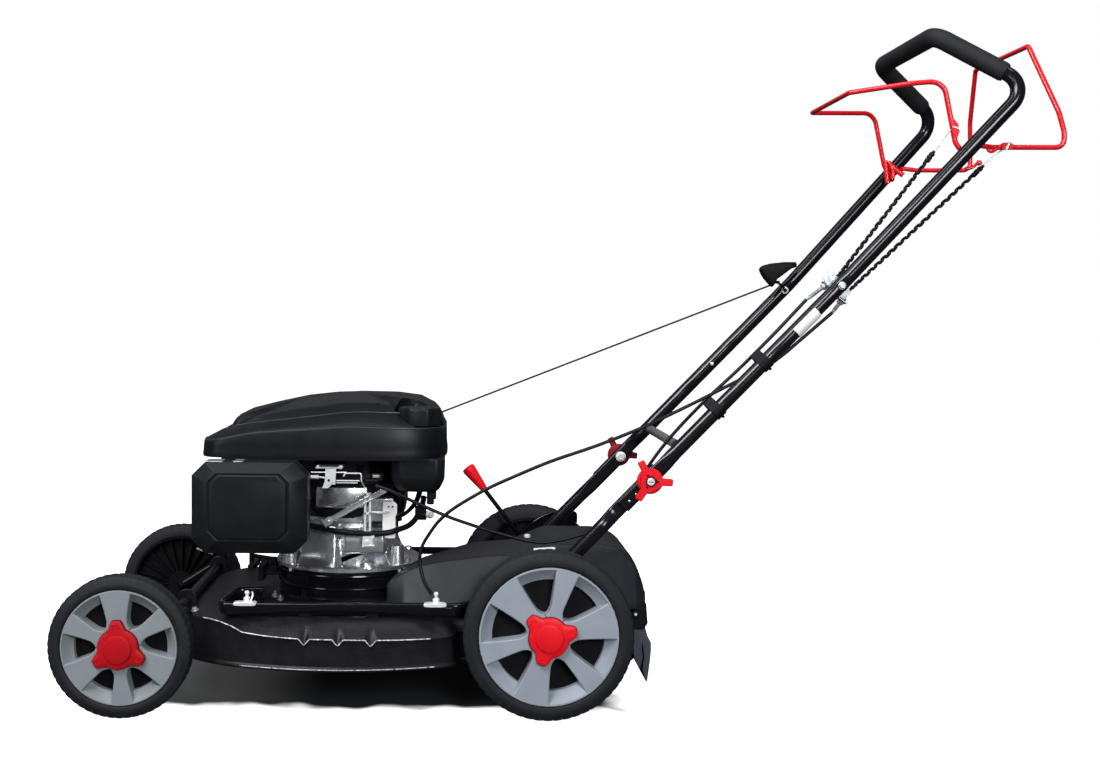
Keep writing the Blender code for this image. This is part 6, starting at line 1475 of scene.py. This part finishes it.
# axles, each one bar with an arm for the height gear, and the lever with its grip
ARM_Y = 0.2195
for name, wheel_at, pivot, body in (("front_axle", (-WHEEL_BASE, FRONT_R), FRONT_PIVOT, "front_axle"),
        ("rear_axle", (0, REAR_R), REAR_PIVOT, "rear_axle")):
    stub = WHEEL_Y + WHEEL_W / 2 - 0.002
    one = [(wheel_at[0], stub, wheel_at[1]), (wheel_at[0], ARM_Y, wheel_at[1]), (pivot[0], ARM_Y, pivot[1])]
    pts = [(x, -y, z) for x, y, z in one] + list(reversed(one))
    bar = sweep(fillet(pts, 0.012, 10), 0.008, 28, upward=(0.3, 0, 1))
    px, pz = pivot
    arm = [(px - 0.01, pz), (px - 0.007, pz + 0.038), (px + 0.007, pz + 0.038), (px + 0.01, pz)]
    bar = join(bar, prism(arm, 0.2072, 0.2105), rod((px, 0.203, pz + 0.034), (px, 0.2087, pz + 0.034),
        0.003, 16))
    piece(name + "_bar", bar, "tube", name, body, angle=35)
LEVER_Y = 0.1973
elbow, foot = Vector((-0.022, LEVER_Y, 0.2245)), Vector((-0.0944, LEVER_Y, 0.3177))
grip_dir = (foot - elbow).normalized()
path = fillet([(REAR_PIVOT[0] - 0.006, LEVER_Y, REAR_PIVOT[1] + 0.002), (0.03, LEVER_Y, 0.209), elbow,
    foot + grip_dir * 0.026], [0.05, 0.02], 10)
flat_n = len(path) - 2
lever = sweep(path, lambda k: (0.0036, 0.004) if k < flat_n else (0.0044, 0.0044), 20)
lever = join(lever, rod((REAR_PIVOT[0], 0.195, REAR_PIVOT[1]), (REAR_PIVOT[0], 0.202, REAR_PIVOT[1]),
    0.0145, 40))
piece("height_lever_look", lever, "rail", "height_lever", "rear_axle", angle=35)
# the grip's red is a brighter copy of the red plastic: painted light
piece("lever_grip_look", revolve(foot, grip_dir, [(0.005, -0.0005), (0.0064, 0), (0.0076, 0.004),
    (0.0128, 0.046), (0.0132, 0.05), (0.0124, 0.0535), (0.01, 0.055), (0.005, 0.0556)], 48), "painted_light_red",
    "height_lever_grip", "rear_axle")

# link between the two axles' arms, dipping to pass under the lever
LINK_Y, LINK_LOW, EYE_RISE = 0.2052, 0.1935, 0.034
front_eye = Vector((FRONT_PIVOT[0], LINK_Y, FRONT_PIVOT[1] + EYE_RISE))
rear_eye = Vector((REAR_PIVOT[0], LINK_Y, REAR_PIVOT[1] + EYE_RISE))
dip = fillet([front_eye, (-0.56, LINK_Y, LINK_LOW), (-0.04, LINK_Y, LINK_LOW), rear_eye], [0.03, 0.05], 8)
link_bar = sweep(dip, lambda k: (0.0075, 0.0015), 16)
for eye in (front_eye, rear_eye):
    link_bar = join(link_bar, rod(eye + Vector((0, -0.0015, 0)), eye + Vector((0, 0.0015, 0)), 0.0075, 28))
piece("height_link_look", link_bar, "rail", "height_link", "height_link")

# finishes of the CAD pieces that are shown as they are
KEPT = {"crankshaft": "steel", "flywheel": "cast", "blade_adapter": "steel", "blade": "steel",
    "blade_bolt": "zinc", "gearbox": "cast", "gearbox_pulley": "steel", "drive_belt": "flap",
    "muffler": "steel"}
for name, finish in KEPT.items():
    for holder in frame["nodes"][name].material_slots:
        holder.material = LOOK[finish]

# floor, background and lights
bm = bmesh.new()
bmesh.ops.create_grid(bm, x_segments=2, y_segments=2, size=30.0)
floor_mesh = bpy.data.meshes.new("floor")
bm.to_mesh(floor_mesh)
bm.free()
floor = add_object("floor", floor_mesh)
floor.location = (0, 0, -0.0006)
paper = bpy.data.materials.new("floor_with_painted_shadow")
paper.use_nodes = True
floor_mesh.materials.append(paper)
nodes, links = paper.node_tree.nodes, paper.node_tree.links
sheet = nodes["Principled BSDF"]
fill(sheet, {"Base Color": (0.93, 0.94, 0.96, 1), "Roughness": 0.95, "Specular IOR Level": 0.0,
    "Emission Color": (1, 1, 0.97, 1)})


def feed(socket, source):
    """Sets a socket to a constant, or links another node's output to it."""
    if isinstance(source, bpy.types.NodeSocket):
        links.new(source, socket)
    else:
        socket.default_value = source


def calc(operation, *sources):
    made = nodes.new("ShaderNodeMath")
    made.operation = operation
    for socket, source in zip(made.inputs, sources):
        feed(socket, source)
    return made.outputs[0]


def fade(source, start, end):
    made = nodes.new("ShaderNodeMapRange")
    made.interpolation_type = "SMOOTHSTEP"
    fill(made, {"From Min": start, "From Max": end})
    links.new(source, made.inputs["Value"])
    return made.outputs["Result"]


def either(share, first, second):
    made = nodes.new("ShaderNodeMix")
    made.data_type = "RGBA"
    for k, source in ((0, share), (6, first), (7, second)):
        feed(made.inputs[k], source)
    return made.outputs[2]


# the floor has a painted shadow under the mower and glows white beyond its wavy outline, with a weak painted
# glow lightening that shadow behind the front wheel
place = nodes.new("ShaderNodeTexCoord").outputs["Object"]
apart = nodes.new("ShaderNodeSeparateXYZ")
links.new(place, apart.inputs[0])
waves = nodes.new("ShaderNodeTexNoise")
fill(waves, {"Scale": 7.0})
links.new(place, waves.inputs["Vector"])
WAVE = 0.13
outside = []
for axis, shift, near, far in (("X", 0.325, 0.395, 0.445), ("Y", 0, 0.174, 0.208)):
    off = calc("ABSOLUTE", calc("ADD", apart.outputs[axis], shift))
    outside.append(fade(calc("MULTIPLY_ADD", waves.outputs["Fac"], WAVE, off), near + WAVE / 2,
        far + WAVE / 2))
glow = calc("MAXIMUM", *outside)
painted_glow = calc("MULTIPLY_ADD", fade(apart.outputs["X"], -0.4, -0.6), 0.038, 0.0015)
seen = nodes.new("ShaderNodeLightPath").outputs["Is Camera Ray"]
# the dark colour under the mower is a painted shadow
painted_shadow_colour = either(glow, (0.024, 0.027, 0.031, 1), (0.93, 0.94, 0.97, 1))
links.new(either(seen, (0.1, 0.1, 0.11, 1), painted_shadow_colour), sheet.inputs["Base Color"])
links.new(calc("MULTIPLY", calc("MAXIMUM", glow, painted_glow), seen), sheet.inputs["Emission Strength"])

world = bpy.data.worlds.new("studio")
bpy.context.scene.world = world
world.use_nodes = True
nodes, links = world.node_tree.nodes, world.node_tree.links
nodes.clear()
output = nodes.new("ShaderNodeOutputWorld")
mix = nodes.new("ShaderNodeMixShader")
seen = nodes.new("ShaderNodeLightPath")
white = nodes.new("ShaderNodeBackground")
fill(white, {"Color": (1, 1, 1, 1), "Strength": 1.0})
soft = nodes.new("ShaderNodeBackground")
fill(soft, {"Color": (0.92, 0.95, 1.0, 1), "Strength": 0.1})
links.new(seen.outputs["Is Camera Ray"], mix.inputs["Fac"])
links.new(soft.outputs["Background"], mix.inputs[1])
links.new(white.outputs["Background"], mix.inputs[2])
links.new(mix.outputs["Shader"], output.inputs["Surface"])


def lamp(name, at, target, size, power):
    data = bpy.data.lights.new(name, "AREA")
    data.shape = "RECTANGLE"
    data.size, data.size_y = size
    data.energy = power
    obj = add_object(name, data)
    obj.location = at
    obj.rotation_euler = (Vector(target) - Vector(at)).to_track_quat("-Z", "Y").to_euler()


lamp("top_strip", (-0.1, -0.3, 3.0), (0, 0, 0), (3.6, 0.3), 30)
lamp("front_box", (1.1, -3.9, 1.8), (0, 0, 0.45), (1.4, 1.1), 104)
lamp("upper_left_box", (-1.7, -1.9, 3.0), (0.1, 0, 0.4), (2.2, 0.8), 120)
lamp("left_box", (-2.9, -2.8, 1.5), (-0.2, 0, 0.4), (1.0, 1.6), 26)
lamp("back_strip", (0, 2.8, 2.2), (0, 0, 0.5), (4.0, 0.5), 4)

bpy.context.scene.view_settings.view_transform = "Standard"
bpy.context.view_layer.update()
